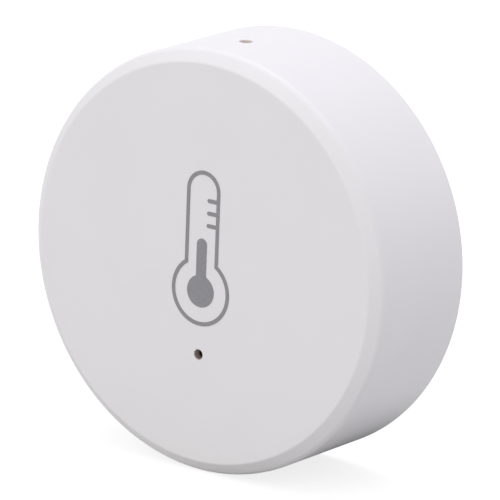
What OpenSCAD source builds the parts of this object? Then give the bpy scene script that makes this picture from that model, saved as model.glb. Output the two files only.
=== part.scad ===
// Round battery-powered temperature and humidity sensor for a wall.
//
// Every module below draws in a bench frame: X to the right, Y up and Z out of the front face, with Z = 0 on
// the wall. upright() turns that frame so that +Z is up and the front looks along -Y.

/* [Body] */
// Thickness of the side wall
side_wall = 2; // [1.7:0.1:3]
// Thickness of the front wall
face_wall = 1.7; // [1.2:0.1:2.4]
// Width of the chamfer round the front face
chamfer = 1.8; // [0.8:0.05:2.4]
// Depth of the chamfer
chamfer_deep = 1.45; // [0.6:0.05:2.2]
// Radius where the chamfer runs into the side
chamfer_round = 1.4; // [0.1:0.05:3]
// Radius of the back edge
back_round = 0.2; // [0.1:0.05:0.6]

/* [Holes and print] */
// Diameter of the indicator and air hole in the front
light_hole_d = 1.45; // [1:0.05:2.4]
// How far the indicator hole lies below the centre
light_hole_drop = 12.9; // [12:0.1:14.5]
// Diameter of the reset pinhole in the top
pinhole_d = 1.9; // [1.2:0.1:2.6]
// Thickness of the printed ink
ink_t = 0.05; // [0.03:0.01:0.1]
// Line width of the printed thermometer
ink_line = 0.58; // [0.4:0.02:0.8]
// Width of the thermometer's tube outside its line
tube_w = 5.7; // [4.5:0.1:7]
// Diameter of the thermometer's bulb outside its line
bulb_d = 9.86; // [8:0.1:12]
// Height of the bulb's centre below the middle of the face
bulb_drop = 3.85; // [2:0.1:6]
// Height of the tube's top above the middle of the face
tube_top = 13.25; // [11:0.05:16]
// Diameter of the filled bulb
mercury_d = 4.58; // [3:0.1:5.5]
// Width of the filled column
column_w = 1.72; // [1:0.1:2.4]
// Height of the column's top above the bulb's centre
column_h = 7.5; // [5:0.1:9]
// Length of a scale tick, from the tube's outside
tick_l = 2.15; // [1.2:0.05:2.8]
// Distance between scale ticks
tick_step = 1.77; // [1.2:0.01:2.4]
// Distance from the tube's top down to the first tick
tick_drop = 4.1; // [3:0.1:5]
// Number of scale ticks
ticks = 3; // [1:1:4]

/* [Rear cover] */
// Thickness of the cover plate
cover_t = 1.6; // [1.2:0.1:2]
// Width of the ledge inside the body that the cover rests on
ledge = 0.7; // [0.4:0.05:0.9]
// Radial gap round the cover plate
cover_gap = 0.15; // [0.1:0.05:0.25]
// Width of a snap tab
tab_w = 8; // [5:0.5:11]
// Length of a snap tab past the plate
tab_l = 4; // [3:0.1:5]
// Thickness of a snap tab
tab_t = 1.2; // [0.8:0.1:1.5]
// Height of the bead on a snap tab
bead_h = 0.18; // [0.1:0.02:0.2]
// Width of the notch for prying the cover off
pry_w = 9; // [6:0.5:14]
// Depth of the pry notch
pry_depth = 1.1; // [0.6:0.1:1.4]
// Diameter of the adhesive disc
tape_d = 40; // [24:1:52]
// Thickness of the adhesive disc
tape_t = 0.8; // [0.4:0.1:1.6]

/* [Cells] */
// Diameter of a cell, AAA size
cell_d = 10.3; // [8:0.1:14.5]
// Length of a cell with its nub
cell_l = 44.5; // [36:0.1:52]
// Gap between the two cells
cell_gap = 0.7; // [0.4:0.1:1.2]
// Gap between the cells and the rear cover
cell_clear = 1.35; // [0.8:0.1:2]
// Diameter of the positive nub
nub_d = 3.8; // [3:0.1:4.4]
// Height of the positive nub
nub_h = 1; // [0.8:0.1:1.4]
// Thickness of the printed sleeve
sleeve_t = 0.1; // [0.08:0.01:0.15]

/* [Battery tub] */
// Thickness of the tub's long and short walls
tub_wall = 1; // [0.8:0.1:1.2]
// Thickness of the tub where its corners run along the body
corner_wall = 1.2; // [0.8:0.1:6]
// Radial gap between the tub and the body
tub_gap = 0.25; // [0.15:0.05:0.5]
// Thickness of the tub's floor under a cell
tub_floor = 0.9; // [0.7:0.1:1.2]
// Thickness of the flange round the tub
flange_t = 1.4; // [1:0.1:1.8]
// How far a cell stands out of the flange
cell_proud = 1.8; // [1:0.1:2.4]
// Sheet thickness of the contacts
contact_t = 0.3; // [0.2:0.05:0.4]
// Wire diameter of the contact springs
spring_wire = 0.5; // [0.4:0.05:0.6]
// Length of a spring with the cell in place
spring_l = 3.3; // [3:0.1:3.6]
// Number of curls in a spring
spring_curls = 2.5; // [2:0.5:3]
// Centreline diameter of a spring's wide end
spring_wide_d = 7.2; // [6.4:0.1:7.6]
// Centreline diameter of a spring's narrow end
spring_narrow_d = 4.4; // [3.6:0.1:4.8]

/* [Board] */
// Thickness of the circuit board
board_t = 1; // [0.8:0.1:1.2]
// Space between the board and the front wall
board_gap = 1.8; // [1.5:0.1:2]
// Space between the board and the tub's floor
solder_gap = 0.9; // [0.7:0.1:1.1]
// Radial gap between the board and the body
board_edge_gap = 1.5; // [1:0.1:2]
// Distance of a screw post from the upright centre line
post_x = 13.5; // [12.5:0.1:15]
// Diameter of a screw post
post_d = 4.6; // [4:0.1:5]
// Diameter of the screw's core and so of its pilot hole
screw_d = 1.7; // [1.4:0.05:2]
// Length of a screw under its head
screw_l = 6; // [5:0.5:7]
// Diameter of a screw head
screw_head_d = 3.8; // [3.2:0.1:4.2]
// Height of a screw head
screw_head_h = 1.2; // [0.9:0.1:1.3]

/* [Reset switch] */
// Height of the plunger's axis off the board
switch_axis = 3.95; // [3.3:0.1:4.5]
// Width of the switch
switch_w = 6; // [5:0.1:6.4]
// Depth of the switch's base, along its travel
switch_depth = 3.4; // [3:0.1:4]
// Diameter of the plunger
plunger_d = 3.4; // [2.6:0.1:3.6]
// How far the plunger stands out of the switch
plunger_out = 3; // [2:0.1:3.6]
// Travel of the plunger
plunger_travel = 0.25; // [0.15:0.05:0.4]
// Gap between the plunger's tip and the inside of the body
press_gap = 1.6; // [1:0.1:2]

/* [Hidden] */
$fn = 96;

// Small play between pieces that only lie against each other
play = 0.05;
// Play round posts, legs and plungers that pass through a hole
hole_play = 0.15;
// Room that a cutter runs past the face it opens
over = 1;

// Heights above the wall, from the back to the front
cell_r = cell_d / 2;
cell_seat = 0.2;
z_back = tape_t;
z_cover_in = z_back + cover_t;
z_ledge = z_cover_in + play;
z_cell_back = z_cover_in + cell_clear;
z_cell = z_cell_back + cell_r;
z_tub_under = z_cell + cell_r + cell_seat + tub_floor;
z_board_back = z_tub_under + solder_gap;
z_board_front = z_board_back + board_t;
z_face_in = z_board_front + board_gap;
z_front = z_face_in + face_wall;
z_flange_back = z_cell_back + cell_proud;
z_flange_front = z_flange_back + flange_t;
z_pinhole = z_board_back - switch_axis;

// The bay for two cells side by side, head to tail
cell_pitch = cell_d + cell_gap;
bay_l = cell_l + spring_l + 2 * contact_t + play;
bay_w = cell_pitch + cell_d + 2 * cell_seat;
tub_l = bay_l + 2 * tub_wall;
tub_w = bay_w + 2 * tub_wall;
cradle_h = 2.2;
contact_x = bay_l / 2 - contact_t;
contact_w = cell_d - 2.3;
contact_h = cell_d - 2.9;
contact_pocket = 0.25;
leg_w = 1.8;
leg_past = 0.6;
mark_l = 2.4;
mark_t = 0.6;
mark_relief = 0.25;
mark_inset = 4;
mark_off = mark_l;
rib_w = 1.2;
rib_gap = 0.3;

// The body is as wide as the bay's corners, the wall round them and the gap to the tub ask for
tub_r = norm([bay_l, bay_w]) / 2 + corner_wall;
bore_r = tub_r + tub_gap;
body_r = bore_r + side_wall;
flat_r = body_r - chamfer;
cover_r = bore_r + ledge;
rebate_r = cover_r + cover_gap;

// Screw posts stand clear of the tub on both sides
shoulder_r = post_d / 2 + 1.2;
post_off = 0.9;
post_y = tub_w / 2 + shoulder_r + post_off;
post_spots = [for (sx = [-1, 1], sy = [-1, 1]) [sx * post_x, sy * post_y]];
pilot_past = 0.6;
screw_hole_play = 0.3;
recess_depth = 0.6;
recess_w = 0.55;

// Studs under the tub hold the board on the posts' shoulders
stud_d = 2.4;
stud_inset = 4;

// Snap tabs of the rear cover and the groove that they catch in
tab_angles = [62, 118, 242, 298];
tab_play = 0.25;
tab_room = 0.5;
tab_r = bore_r - tab_play;
bead_w = 1.2;
bead_back = 0.6;
groove_depth = 0.3;
z_bead = z_cover_in + tab_l - bead_back - bead_w / 2;
key_w = 3;
key_depth = 1.6;
key_l = 2;
key_rib = 1;

// Ends of a cell
dish_depth = 0.3;
dish_wall = 1;
dish_w = 0.9;
sleeve_bare = 0.4;

// Reset switch: its plunger points at the pinhole
plunger_tip = bore_r - press_gap;
switch_top = plunger_tip - plunger_out;
switch_bottom = switch_top - switch_depth;
switch_h = 6;
switch_sheet = 0.3;
plunger_in = 1.2;
plunger_r = plunger_d / 2;
plunger_foot = switch_top - plunger_in;
pocket_r = plunger_r + hole_play;
dome_h = 0.5;
dome_t = 0.12;
dome_gap = 0.1;
dome_seat = plunger_foot - dome_h;

// Circuit board and what stands on it
board_r = bore_r - board_edge_gap;
shield_w = 9.4;
shield_h = 8.4;
shield_t = 1.8;
shield_sheet = 0.2;
antenna_strip = 0.5;
antenna_step = 2 * antenna_strip;
antenna_runs = 4;
antenna_t = 0.1;
antenna_end = 1;
antenna_gap = 0.15;
radio_edge = 0.6;
radio_w = shield_w + antenna_gap + antenna_runs * antenna_step + antenna_strip / 2 + 2 * radio_edge;
radio_h = shield_h + 2.2;
radio_t = 0.8;
radio_off = 0.8;
radio_y = -(tub_w / 2 + radio_off + radio_h / 2);
sensor_x = 5;
sensor_w = 2.5;
sensor_t = 0.9;
sensor_slot = 0.8;
sensor_port_d = 1;
sensor_port_depth = 0.3;
led_w = 2;
led_h = 1.25;
led_t = 0.8;
led_base = 0.3;
led_pad = 0.35;
chip_l = 1.6;
chip_w = 0.8;
capacitor_t = 0.8;
resistor_t = 0.45;
chip_x = 10.5;
chip_low = 2;
capacitor_step = 2.6;
resistor_step = 2.2;
part_x = 7;
regulator_l = 2.9;
regulator_w = 1.3;
regulator_t = 1.1;
regulator_leg = 0.4;
regulator_pitch = 0.95;
crystal_l = 3.2;
crystal_w = 2.5;
crystal_t = 0.8;
bulk_d = 4;
bulk_h = 5.4;
bulk_foot = 0.8;
bulk_edge = 0.3;

module upright() {
    rotate([90, 0, 0]) children();
}

// Points on an arc in a profile, from one angle to another
function arc(cx, cy, r, from, to, steps) =
    [for (i = [0 : steps]) let (a = from + (to - from) * i / steps) [cx + r * cos(a), cy + r * sin(a)]];

// A cylinder between two heights
module post(r, low, high) {
    translate([0, 0, low]) cylinder(r = r, h = high - low);
}

// A block centred on X and Y, between two heights
module block(w, h, low, high) {
    translate([-w / 2, -h / 2, low]) cube([w, h, high - low]);
}

// A bar along X between two places, round its axis
module bar_x(r, from, to) {
    translate([from, 0, 0]) rotate([0, 90, 0]) cylinder(r = r, h = to - from);
}

// Body

// Half section of the cup: front face, chamfer, side, back edge, rebate, snap groove and inside
module shell_profile() {
    turn = atan2(chamfer, chamfer_deep);
    blend = min(chamfer_round * tan(turn / 2), 0.9 * norm([chamfer, chamfer_deep]));
    corner_r = blend / tan(turn / 2);
    polygon(concat(
        [[0, z_front], [flat_r, z_front]],
        arc(body_r - corner_r, z_front - chamfer_deep - blend, corner_r, turn, 0, 8),
        arc(body_r - back_round, z_back + back_round, back_round, 0, -90, 4),
        [[rebate_r, z_back], [rebate_r, z_ledge], [bore_r, z_ledge]],
        [[bore_r, z_bead - bead_w], [bore_r + groove_depth, z_bead - bead_w / 2]],
        [[bore_r + groove_depth, z_bead + bead_w / 2], [bore_r, z_bead + bead_w]],
        [[bore_r, z_face_in], [0, z_face_in]]
    ));
}

// A post that a screw bites into, with a shoulder that carries the board
module screw_post() {
    post(shoulder_r, z_board_front, z_face_in + face_wall / 4);
    post(post_d / 2, z_flange_front, z_board_front + play);
}

// Two ribs that hold the cover's key, so that it goes on one way round
module key_ribs() {
    for (side = [-1, 1])
        translate([side * (key_w / 2 + hole_play + key_rib / 2), bore_r - key_depth / 2, 0])
            block(key_rib, key_depth + side_wall / 2, z_ledge + play, z_cover_in + key_l);
}

module front_shell() {
    color("whitesmoke") difference() {
        union() {
            rotate_extrude($fn = 180) shell_profile();
            for (spot = post_spots) translate(spot) screw_post();
            key_ribs();
        }
        for (spot = post_spots)
            translate(spot) post(screw_d / 2, z_flange_front - over, z_flange_back + screw_l + pilot_past);
        translate([0, -light_hole_drop, 0]) post(light_hole_d / 2, z_face_in - over, z_front + over);
        translate([0, bore_r - over, z_pinhole])
            rotate([-90, 0, 0]) cylinder(d = pinhole_d, h = side_wall + 2 * over);
        translate([0, -body_r, 0]) block(pry_w, 2 * (body_r - cover_r), z_back - over, z_back + pry_depth);
    }
}

// The printed thermometer

module thermometer_shape(inset) {
    translate([0, -bulb_drop]) circle(d = bulb_d - 2 * inset);
    top = tube_top - tube_w / 2;
    translate([0, top]) circle(d = tube_w - 2 * inset);
    translate([-tube_w / 2 + inset, -bulb_drop]) square([tube_w - 2 * inset, top + bulb_drop]);
}

// One scale tick: a bar with a round end, joined to the tube's line
module tick() {
    translate([tube_w / 2 - tick_l + ink_line / 2, 0]) circle(d = ink_line);
    translate([tube_w / 2 - tick_l + ink_line / 2, -ink_line / 2])
        square([tick_l - ink_line, ink_line]);
}

module icon_print() {
    color("gray") translate([0, 0, z_front]) linear_extrude(ink_t) {
        difference() {
            thermometer_shape(0);
            thermometer_shape(ink_line);
        }
        for (i = [0 : ticks - 1]) translate([0, tube_top - tick_drop - i * tick_step]) tick();
        translate([0, -bulb_drop]) {
            circle(d = mercury_d);
            translate([-column_w / 2, 0]) square([column_w, column_h - column_w / 2]);
            translate([0, column_h - column_w / 2]) circle(d = column_w);
        }
    }
}

// Rear cover

// Keeps the part of a ring that lies in a tab's width, at each tab's angle
module at_tabs() {
    for (angle = tab_angles)
        intersection() {
            children();
            rotate([0, 0, angle]) translate([body_r / 2, 0, 0]) block(body_r, tab_w, 0, z_front);
        }
}

module tab_ring() {
    difference() {
        post(tab_r, z_cover_in - play, z_cover_in + tab_l);
        post(tab_r - tab_t, 0, z_front);
    }
}

module bead_ring() {
    inner = tab_r - tab_t / 2;
    rotate_extrude($fn = 180) polygon([
        [inner, z_bead - bead_w / 2], [tab_r, z_bead - bead_w / 2], [tab_r + bead_h, z_bead],
        [tab_r, z_bead + bead_w / 2], [inner, z_bead + bead_w / 2]
    ]);
}

// Two ribs that keep the cells from rattling
module cell_ribs() {
    for (side = [-1, 1])
        translate([side * cell_l / 4, 0, 0])
            block(rib_w, cell_pitch + cell_r, z_cover_in - play, z_cell_back - rib_gap);
}

module rear_cover() {
    edge = min(back_round, cover_t / 4);
    color("whitesmoke") union() {
        rotate_extrude($fn = 180) polygon([
            [0, z_back], [cover_r - edge, z_back], [cover_r, z_back + edge],
            [cover_r, z_cover_in], [0, z_cover_in]
        ]);
        at_tabs() {
            tab_ring();
            bead_ring();
        }
        translate([0, bore_r - key_depth / 2 - tab_play, 0])
            block(key_w, key_depth, z_cover_in - play, z_cover_in + key_l);
        cell_ribs();
    }
}

module adhesive_disc() {
    color("lightgray") post(tape_d / 2, 0, z_back);
}

// Battery tub, cells and contacts

// Height of a cell's axis; way is +1 for the upper cell and -1 for the lower one
function cell_y(way) = way * cell_pitch / 2;

// A plus or a minus moulded on the flange
module pole_mark(plus) {
    block(mark_l, mark_t, z_flange_back - mark_relief, z_flange_back + play);
    if (plus) block(mark_t, mark_l, z_flange_back - mark_relief, z_flange_back + play);
}

// The room for two cells on round cradles, with a square pocket at each end for the contacts
module bay_cut() {
    block(bay_l, bay_w, z_flange_back - over, z_cell + cell_r - cradle_h);
    for (way = [-1, 1])
        translate([0, cell_y(way), z_cell]) bar_x(cell_r + cell_seat, -bay_l / 2, bay_l / 2);
    pocket = contact_t + contact_pocket;
    for (side = [-1, 1])
        translate([side * (bay_l - pocket) / 2, 0, 0])
            block(pocket, bay_w - 2 * cell_seat, z_flange_back - over, z_cell + contact_h / 2 + play);
}

// Slots for the legs of the positive and negative contacts
module leg_slots() {
    for (way = [-1, 1])
        translate([contact_x + contact_t / 2, cell_y(way), 0])
            block(contact_t + 2 * play, leg_w + 2 * hole_play, z_cell, z_board_front + over);
}

// Notches in the flange that let the cover's snap tabs past
module tab_notches() {
    reach = body_r - tab_r + tab_t + tab_room;
    for (angle = tab_angles)
        rotate([0, 0, angle]) translate([body_r, 0, 0])
            block(2 * reach, tab_w + 2 * tab_room, z_flange_back - over, z_flange_front + over);
}

module battery_tub() {
    color("white") difference() {
        union() {
            intersection() {
                block(tub_l, tub_w, z_flange_back, z_tub_under);
                post(tub_r, 0, z_front);
            }
            post(tub_r, z_flange_back, z_flange_front);
            for (side = [-1, 1], way = [-1, 1]) {
                translate([side * (bay_l / 2 - mark_inset), way * (tub_w / 2 + mark_off), 0])
                    pole_mark(side == way);
                translate([side * (bay_l / 2 - stud_inset), way * (tub_w / 2 - stud_inset), 0])
                    post(stud_d / 2, z_tub_under - play, z_board_back - play);
            }
        }
        bay_cut();
        leg_slots();
        tab_notches();
        for (spot = post_spots)
            translate(spot) post(screw_d / 2 + screw_hole_play, z_flange_back - over, z_flange_front + over);
    }
}

// A pan-head screw with a cross recess
module tub_screw() {
    top = z_flange_back - screw_head_h;
    difference() {
        union() {
            post(screw_head_d / 2, top, z_flange_back);
            post(screw_d / 2 - play / 2, z_flange_back - play, z_flange_back + screw_l);
        }
        for (turn = [0, 90])
            rotate([0, 0, turn]) block(screw_head_d * 0.62, recess_w, top - over, top + recess_depth);
    }
}

module tub_screws() {
    color("silver") for (spot = post_spots) translate(spot) tub_screw();
}

// Draws along the cell's own axis: 0 at the flat end, cell_l at the nub. The nub of way +1 points to +X.
module along_cell(way) {
    translate([0, cell_y(way), z_cell])
        rotate([0, 0, way > 0 ? 0 : 180])
            translate([-bay_l / 2 + contact_t + spring_l, 0, 0]) children();
}

module cell_can(way) {
    body_end = cell_l - nub_h;
    can_r = cell_r - sleeve_t - play / 2;
    color("silver") along_cell(way) difference() {
        union() {
            bar_x(can_r, 0, body_end);
            bar_x(nub_d / 2, body_end - play, cell_l);
        }
        difference() {
            bar_x(can_r - dish_wall, -over, dish_depth);
            bar_x(can_r - dish_wall - dish_w, -2 * over, 2 * dish_depth);
        }
    }
}

module cell_sleeve(way) {
    color("slategray") along_cell(way) difference() {
        bar_x(cell_r, sleeve_bare, cell_l - nub_h - sleeve_bare);
        bar_x(cell_r - sleeve_t, 0, cell_l);
    }
}

// A sheet contact against the bay's end, its faces square to X
module contact_sheet(width) {
    translate([contact_x + contact_t / 2, 0, z_cell])
        block(contact_t, width, -contact_h / 2, contact_h / 2);
}

// The leg that takes a contact through the tub's floor to the board
module contact_leg() {
    translate([contact_x + contact_t / 2, 0, 0])
        block(contact_t, leg_w, z_cell + contact_h / 2 - play, z_board_front + leg_past);
}

module positive_contact() {
    color("gainsboro") translate([0, cell_y(1), 0]) {
        contact_sheet(contact_w);
        contact_leg();
    }
}

module negative_contact() {
    color("gainsboro") translate([0, cell_y(-1), 0]) {
        contact_sheet(contact_w);
        contact_leg();
    }
}

module bridge_contact() {
    color("gainsboro") mirror([1, 0, 0]) contact_sheet(cell_pitch + contact_w);
}

// Centreline of a contact spring, from the sheet at 0 to the cell at spring_l, as it narrows
function spring_line() =
    let (steps = round(8 * spring_curls), rise = spring_l - 2 * spring_wire, turn = 360 * spring_curls)
    concat(
        [[0, spring_wide_d / 2, 0]],
        [for (i = [0 : steps])
            let (f = i / steps, a = turn * f,
                 r = (spring_wide_d + (spring_narrow_d - spring_wide_d) * f) / 2)
            [spring_wire + rise * f, r * cos(a), r * sin(a)]],
        [[spring_l, spring_narrow_d / 2 * cos(turn), spring_narrow_d / 2 * sin(turn)]]
    );

function unit(v) = v / norm(v);

// A ring of points square to the line at point i
function wire_ring(line, i, sides) =
    let (last = len(line) - 1, t = unit(line[min(i + 1, last)] - line[max(i - 1, 0)]),
         out = unit([0, line[i][1], line[i][2]]), b = unit(cross(t, out)), n = cross(b, t))
    [for (k = [0 : sides - 1])
        let (a = 360 * k / sides) line[i] + spring_wire / 2 * (cos(a) * n + sin(a) * b)];

// Least gap between turns, taken between points more than half a turn apart
spring_gap = min([for (line = [spring_line()], i = [0 : len(line) - 1], j = [i + 5 : 1 : len(line) - 1])
    norm(line[i] - line[j])]) - spring_wire;

module spring_coil() {
    sides = 6;
    line = spring_line();
    last = len(line) - 1;
    points = [for (i = [0 : last]) each wire_ring(line, i, sides)];
    walls = [for (i = [0 : last - 1], k = [0 : sides - 1])
        let (a = i * sides + k, b = i * sides + (k + 1) % sides, c = a + sides, d = b + sides)
        each [[a, b, d], [a, d, c]]];
    far = last * sides;
    caps = [for (k = [1 : sides - 2]) each [[0, k + 1, k], [far, far + k, far + k + 1]]];
    polyhedron(points, concat(walls, caps));
}

// Stands a spring on its sheet, pointing at the flat end of the cell
module contact_spring(way) {
    color("silver") translate([0, cell_y(way), z_cell])
        rotate([0, 0, way > 0 ? 0 : 180])
            translate([-contact_x, 0, 0]) spring_coil();
}

// Circuit board and electronics

// A slot right through the board
module board_slot(w, h) {
    block(w, h, z_board_back - over, z_board_front + over);
}

// Slots round the humidity chip keep the board's heat away from it
module heat_slots() {
    reach = sensor_w / 2 + sensor_slot;
    for (side = [-1, 1]) translate([0, side * reach, 0]) board_slot(2 * reach, sensor_slot);
    translate([reach, 0, 0]) board_slot(sensor_slot, reach);
}

module circuit_board() {
    color("seagreen") difference() {
        post(board_r, z_board_back, z_board_front);
        for (spot = post_spots)
            translate(spot) post(post_d / 2 + hole_play, z_board_back - over, z_board_front + over);
        leg_slots();
        for (side = [-1, 1])
            translate([side * (switch_w / 2 + switch_sheet / 2), switch_top - switch_depth / 2, 0])
                board_slot(switch_sheet + 2 * hole_play, leg_w + 2 * hole_play);
        translate([sensor_x, -light_hole_drop, 0]) heat_slots();
    }
}

module radio_board() {
    color("darkgreen") translate([0, radio_y, 0]) block(radio_w, radio_h, z_board_back - radio_t, z_board_back);
}

module radio_shield() {
    low = z_board_back - radio_t - shield_t;
    inner_w = shield_w - 2 * shield_sheet;
    inner_h = shield_h - 2 * shield_sheet;
    color("silver") translate([-(radio_w - shield_w) / 2 + radio_edge, radio_y, 0]) difference() {
        block(shield_w, shield_h, low, z_board_back - radio_t);
        block(inner_w, inner_h, low + shield_sheet, z_board_back - radio_t + over);
    }
}

// A folded copper track on the free end of the radio board
module antenna_trace() {
    run = radio_h - 2 * antenna_end;
    low = z_board_back - radio_t - antenna_t;
    high = z_board_back - radio_t;
    start = radio_w / 2 - radio_edge - antenna_runs * antenna_step;
    color("peru") translate([start, radio_y, 0]) for (i = [0 : antenna_runs - 1]) {
        translate([i * antenna_step, 0, 0]) block(antenna_strip, run, low, high);
        if (i < antenna_runs - 1)
            translate([(i + 0.5) * antenna_step, (i % 2 == 0 ? 1 : -1) * (run - antenna_strip) / 2, 0])
                block(antenna_step + antenna_strip, antenna_strip, low, high);
    }
}

module humidity_chip() {
    top = z_board_front + sensor_t;
    color("dimgray") translate([sensor_x, -light_hole_drop, 0]) difference() {
        block(sensor_w, sensor_w, z_board_front, top);
        post(sensor_port_d / 2, top - sensor_port_depth, top + over);
    }
}

module indicator_led() {
    color("khaki") translate([0, -light_hole_drop, 0]) {
        block(led_w, led_h, z_board_front, z_board_front + led_base);
        block(led_w - 2 * led_pad, led_h - 2 * play, z_board_front + led_base - play, z_board_front + led_t);
    }
}

// A column of small two-ended chips on the front of the board, from the tub's lower edge up
module chip_column(x, count, step, thick) {
    for (i = [0 : count - 1])
        translate([x, i * step - tub_w / 2 + chip_low, 0])
            block(chip_l, chip_w, z_board_front, z_board_front + thick);
}

module chip_capacitors() {
    color("burlywood") chip_column(chip_x, 4, capacitor_step, capacitor_t);
}

module chip_resistors() {
    color("black") chip_column(-chip_x, 6, resistor_step, resistor_t);
}

module regulator_chip() {
    low = z_board_back - regulator_t;
    color("black") translate([part_x, switch_top - switch_depth, 0]) {
        block(regulator_l, regulator_w, low, z_board_back - 2 * play);
        for (i = [-1 : 1], side = [-1, 1])
            if (side < 0 || i == 0)
                translate([i * regulator_pitch, side * regulator_w / 2, 0])
                    block(regulator_leg, 3 * regulator_leg, z_board_back - regulator_leg, z_board_back);
    }
}

module crystal_can() {
    color("silver") translate([part_x, switch_top - 2 * switch_depth, 0])
        block(crystal_l, crystal_w, z_board_back - crystal_t, z_board_back);
}

module bulk_capacitor() {
    base = bulk_d + bulk_edge;
    color("silver") translate([-part_x, switch_top - switch_depth, 0]) {
        block(base, base, z_board_back - bulk_foot, z_board_back);
        post(bulk_d / 2, z_board_back - bulk_h, z_board_back - bulk_foot + play);
    }
}

// Reset switch. Its travel runs along Y, from the pinhole down.

// A cylinder along Y on the pinhole's axis
module bar_y(r, from, to) {
    translate([0, from, z_pinhole]) rotate([-90, 0, 0]) cylinder(r = r, h = to - from);
}

module reset_switch_base() {
    color("black") difference() {
        translate([0, (switch_top + switch_bottom) / 2, z_pinhole])
            block(switch_w, switch_depth, -switch_h / 2, switch_h / 2);
        bar_y(pocket_r, dome_seat, switch_top + over);
    }
}

module reset_switch_frame() {
    color("silver") difference() {
        union() {
            translate([0, switch_top + switch_sheet / 2, z_pinhole])
                block(switch_w + 2 * switch_sheet, switch_sheet, -switch_h / 2, switch_h / 2);
            for (side = [-1, 1])
                translate([side * (switch_w / 2 + switch_sheet / 2), switch_top - switch_depth / 2, z_pinhole]) {
                    translate([0, switch_depth / 4, 0])
                        block(switch_sheet, switch_depth / 2 + play, -switch_h / 2, switch_h / 2);
                    block(switch_sheet, leg_w, -play, switch_axis + board_t + leg_past);
                }
        }
        bar_y(plunger_r + hole_play, switch_top - over, switch_top + over);
    }
}

// The snap disc that the plunger presses through: a shallow spherical cap
module reset_dome() {
    rim = plunger_r;
    crown = dome_h - dome_gap;
    ball = (rim * rim + crown * crown) / (2 * crown);
    color("gold") intersection() {
        translate([0, dome_seat + crown - ball, z_pinhole]) difference() {
            sphere(r = ball);
            sphere(r = ball - dome_t);
        }
        bar_y(rim, dome_seat, dome_seat + dome_h);
    }
}

module reset_plunger() {
    color("black") bar_y(plunger_r, plunger_foot, plunger_tip);
}

echo(spring_least_gap_mm = spring_gap);
echo(body_d_mm = 2 * body_r, body_depth_mm = z_front - z_back, pinhole_behind_front_mm = z_front - z_pinhole);

upright() front_shell();
upright() icon_print();
upright() rear_cover();
upright() adhesive_disc();
upright() battery_tub();
upright() tub_screws();
upright() cell_can(1);  // cell_can_upper
upright() cell_sleeve(1);  // cell_sleeve_upper
upright() cell_can(-1);  // cell_can_lower
upright() cell_sleeve(-1);  // cell_sleeve_lower
upright() positive_contact();
upright() negative_contact();
upright() bridge_contact();
upright() contact_spring(-1);  // negative_spring
upright() contact_spring(1);  // bridge_spring
upright() circuit_board();
upright() radio_board();
upright() radio_shield();
upright() antenna_trace();
upright() humidity_chip();
upright() indicator_led();
upright() reset_switch_base();
upright() reset_switch_frame();
upright() reset_dome();
upright() reset_plunger();
upright() chip_capacitors();
upright() chip_resistors();
upright() regulator_chip();
upright() crystal_can();
upright() bulk_capacitor();
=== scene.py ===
"""Dresses the round temperature and humidity sensor and sets it in a plain white studio.

Sizes are in millimetres unless a name ends in _m or _deg. The row frame has X to the right as seen from the
front, Y into the wall and Z up, with Y = 0 on the wall. A depth is a distance off the wall, towards -Y.
"""

import logging
import math
from abc import ABC, abstractmethod
from dataclasses import dataclass
from enum import Enum
from typing import Any, Callable, Mapping, Sequence

import bmesh
import bpy
from mathutils import Matrix, Vector

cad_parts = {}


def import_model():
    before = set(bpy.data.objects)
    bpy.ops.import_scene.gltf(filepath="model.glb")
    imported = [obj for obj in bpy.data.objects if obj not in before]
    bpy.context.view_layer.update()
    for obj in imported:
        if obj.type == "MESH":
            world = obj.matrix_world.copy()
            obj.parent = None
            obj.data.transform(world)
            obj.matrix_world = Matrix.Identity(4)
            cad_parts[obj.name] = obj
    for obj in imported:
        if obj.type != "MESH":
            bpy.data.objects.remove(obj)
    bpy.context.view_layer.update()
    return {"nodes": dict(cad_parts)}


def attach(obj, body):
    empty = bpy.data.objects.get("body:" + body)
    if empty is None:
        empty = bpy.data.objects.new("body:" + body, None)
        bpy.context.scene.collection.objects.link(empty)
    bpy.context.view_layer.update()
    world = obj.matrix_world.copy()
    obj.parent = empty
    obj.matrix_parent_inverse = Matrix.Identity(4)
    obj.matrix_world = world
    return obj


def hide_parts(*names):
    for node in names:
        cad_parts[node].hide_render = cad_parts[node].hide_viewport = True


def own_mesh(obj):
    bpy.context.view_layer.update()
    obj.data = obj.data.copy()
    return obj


LOG = logging.getLogger("sensor")
MM = 0.001

# Points closer than a weld become one point, and a point within the play of a ring counts as on it
WELD = 1e-4
NODE_WELD = 1e-3
RING_PLAY = 2e-3

# Faces across a small round, and the angles that part flat faces, soft edges and crisp edges
ROUND_STEPS = 2
FLAT_DEG = 0.6
SOFT_DEG = 35.0
CRISP_DEG = 38.0

# The range that most of a noise keeps to, and a wider one for a gentler spread
NOISE_CORE = (0.3, 0.7)
NOISE_BODY = (0.25, 0.75)

Colour = tuple[float, float, float]
Ring = tuple[float, float]
Piece = bpy.types.Object
Material = bpy.types.Material
Group = bpy.types.NodeTree
Node = bpy.types.Node
Socket = bpy.types.NodeSocket
EdgeTest = Callable[[Vector, Vector], bool]
Nodes = Mapping[str, Piece]
Inputs = Mapping[str | int, Any]
Outputs = Mapping[str, Socket]
Wiring = tuple[Socket, dict[str, Any]]


class Axis(Enum):
    """The row axis that a turned piece runs along, with the turn that stands a circle square to it."""

    X = ((1.0, 0.0, 0.0), (0.0, math.pi / 2, 0.0))
    Y = ((0.0, 1.0, 0.0), (math.pi / 2, 0.0, 0.0))
    Z = ((0.0, 0.0, 1.0), (0.0, 0.0, 0.0))

    @property
    def along(self) -> Vector:
        """Unit vector along the axis."""
        return Vector(self.value[0])

    @property
    def turn(self) -> tuple[float, float, float]:
        """Euler turn of a circle that faces along the axis."""
        return self.value[1]


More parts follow.
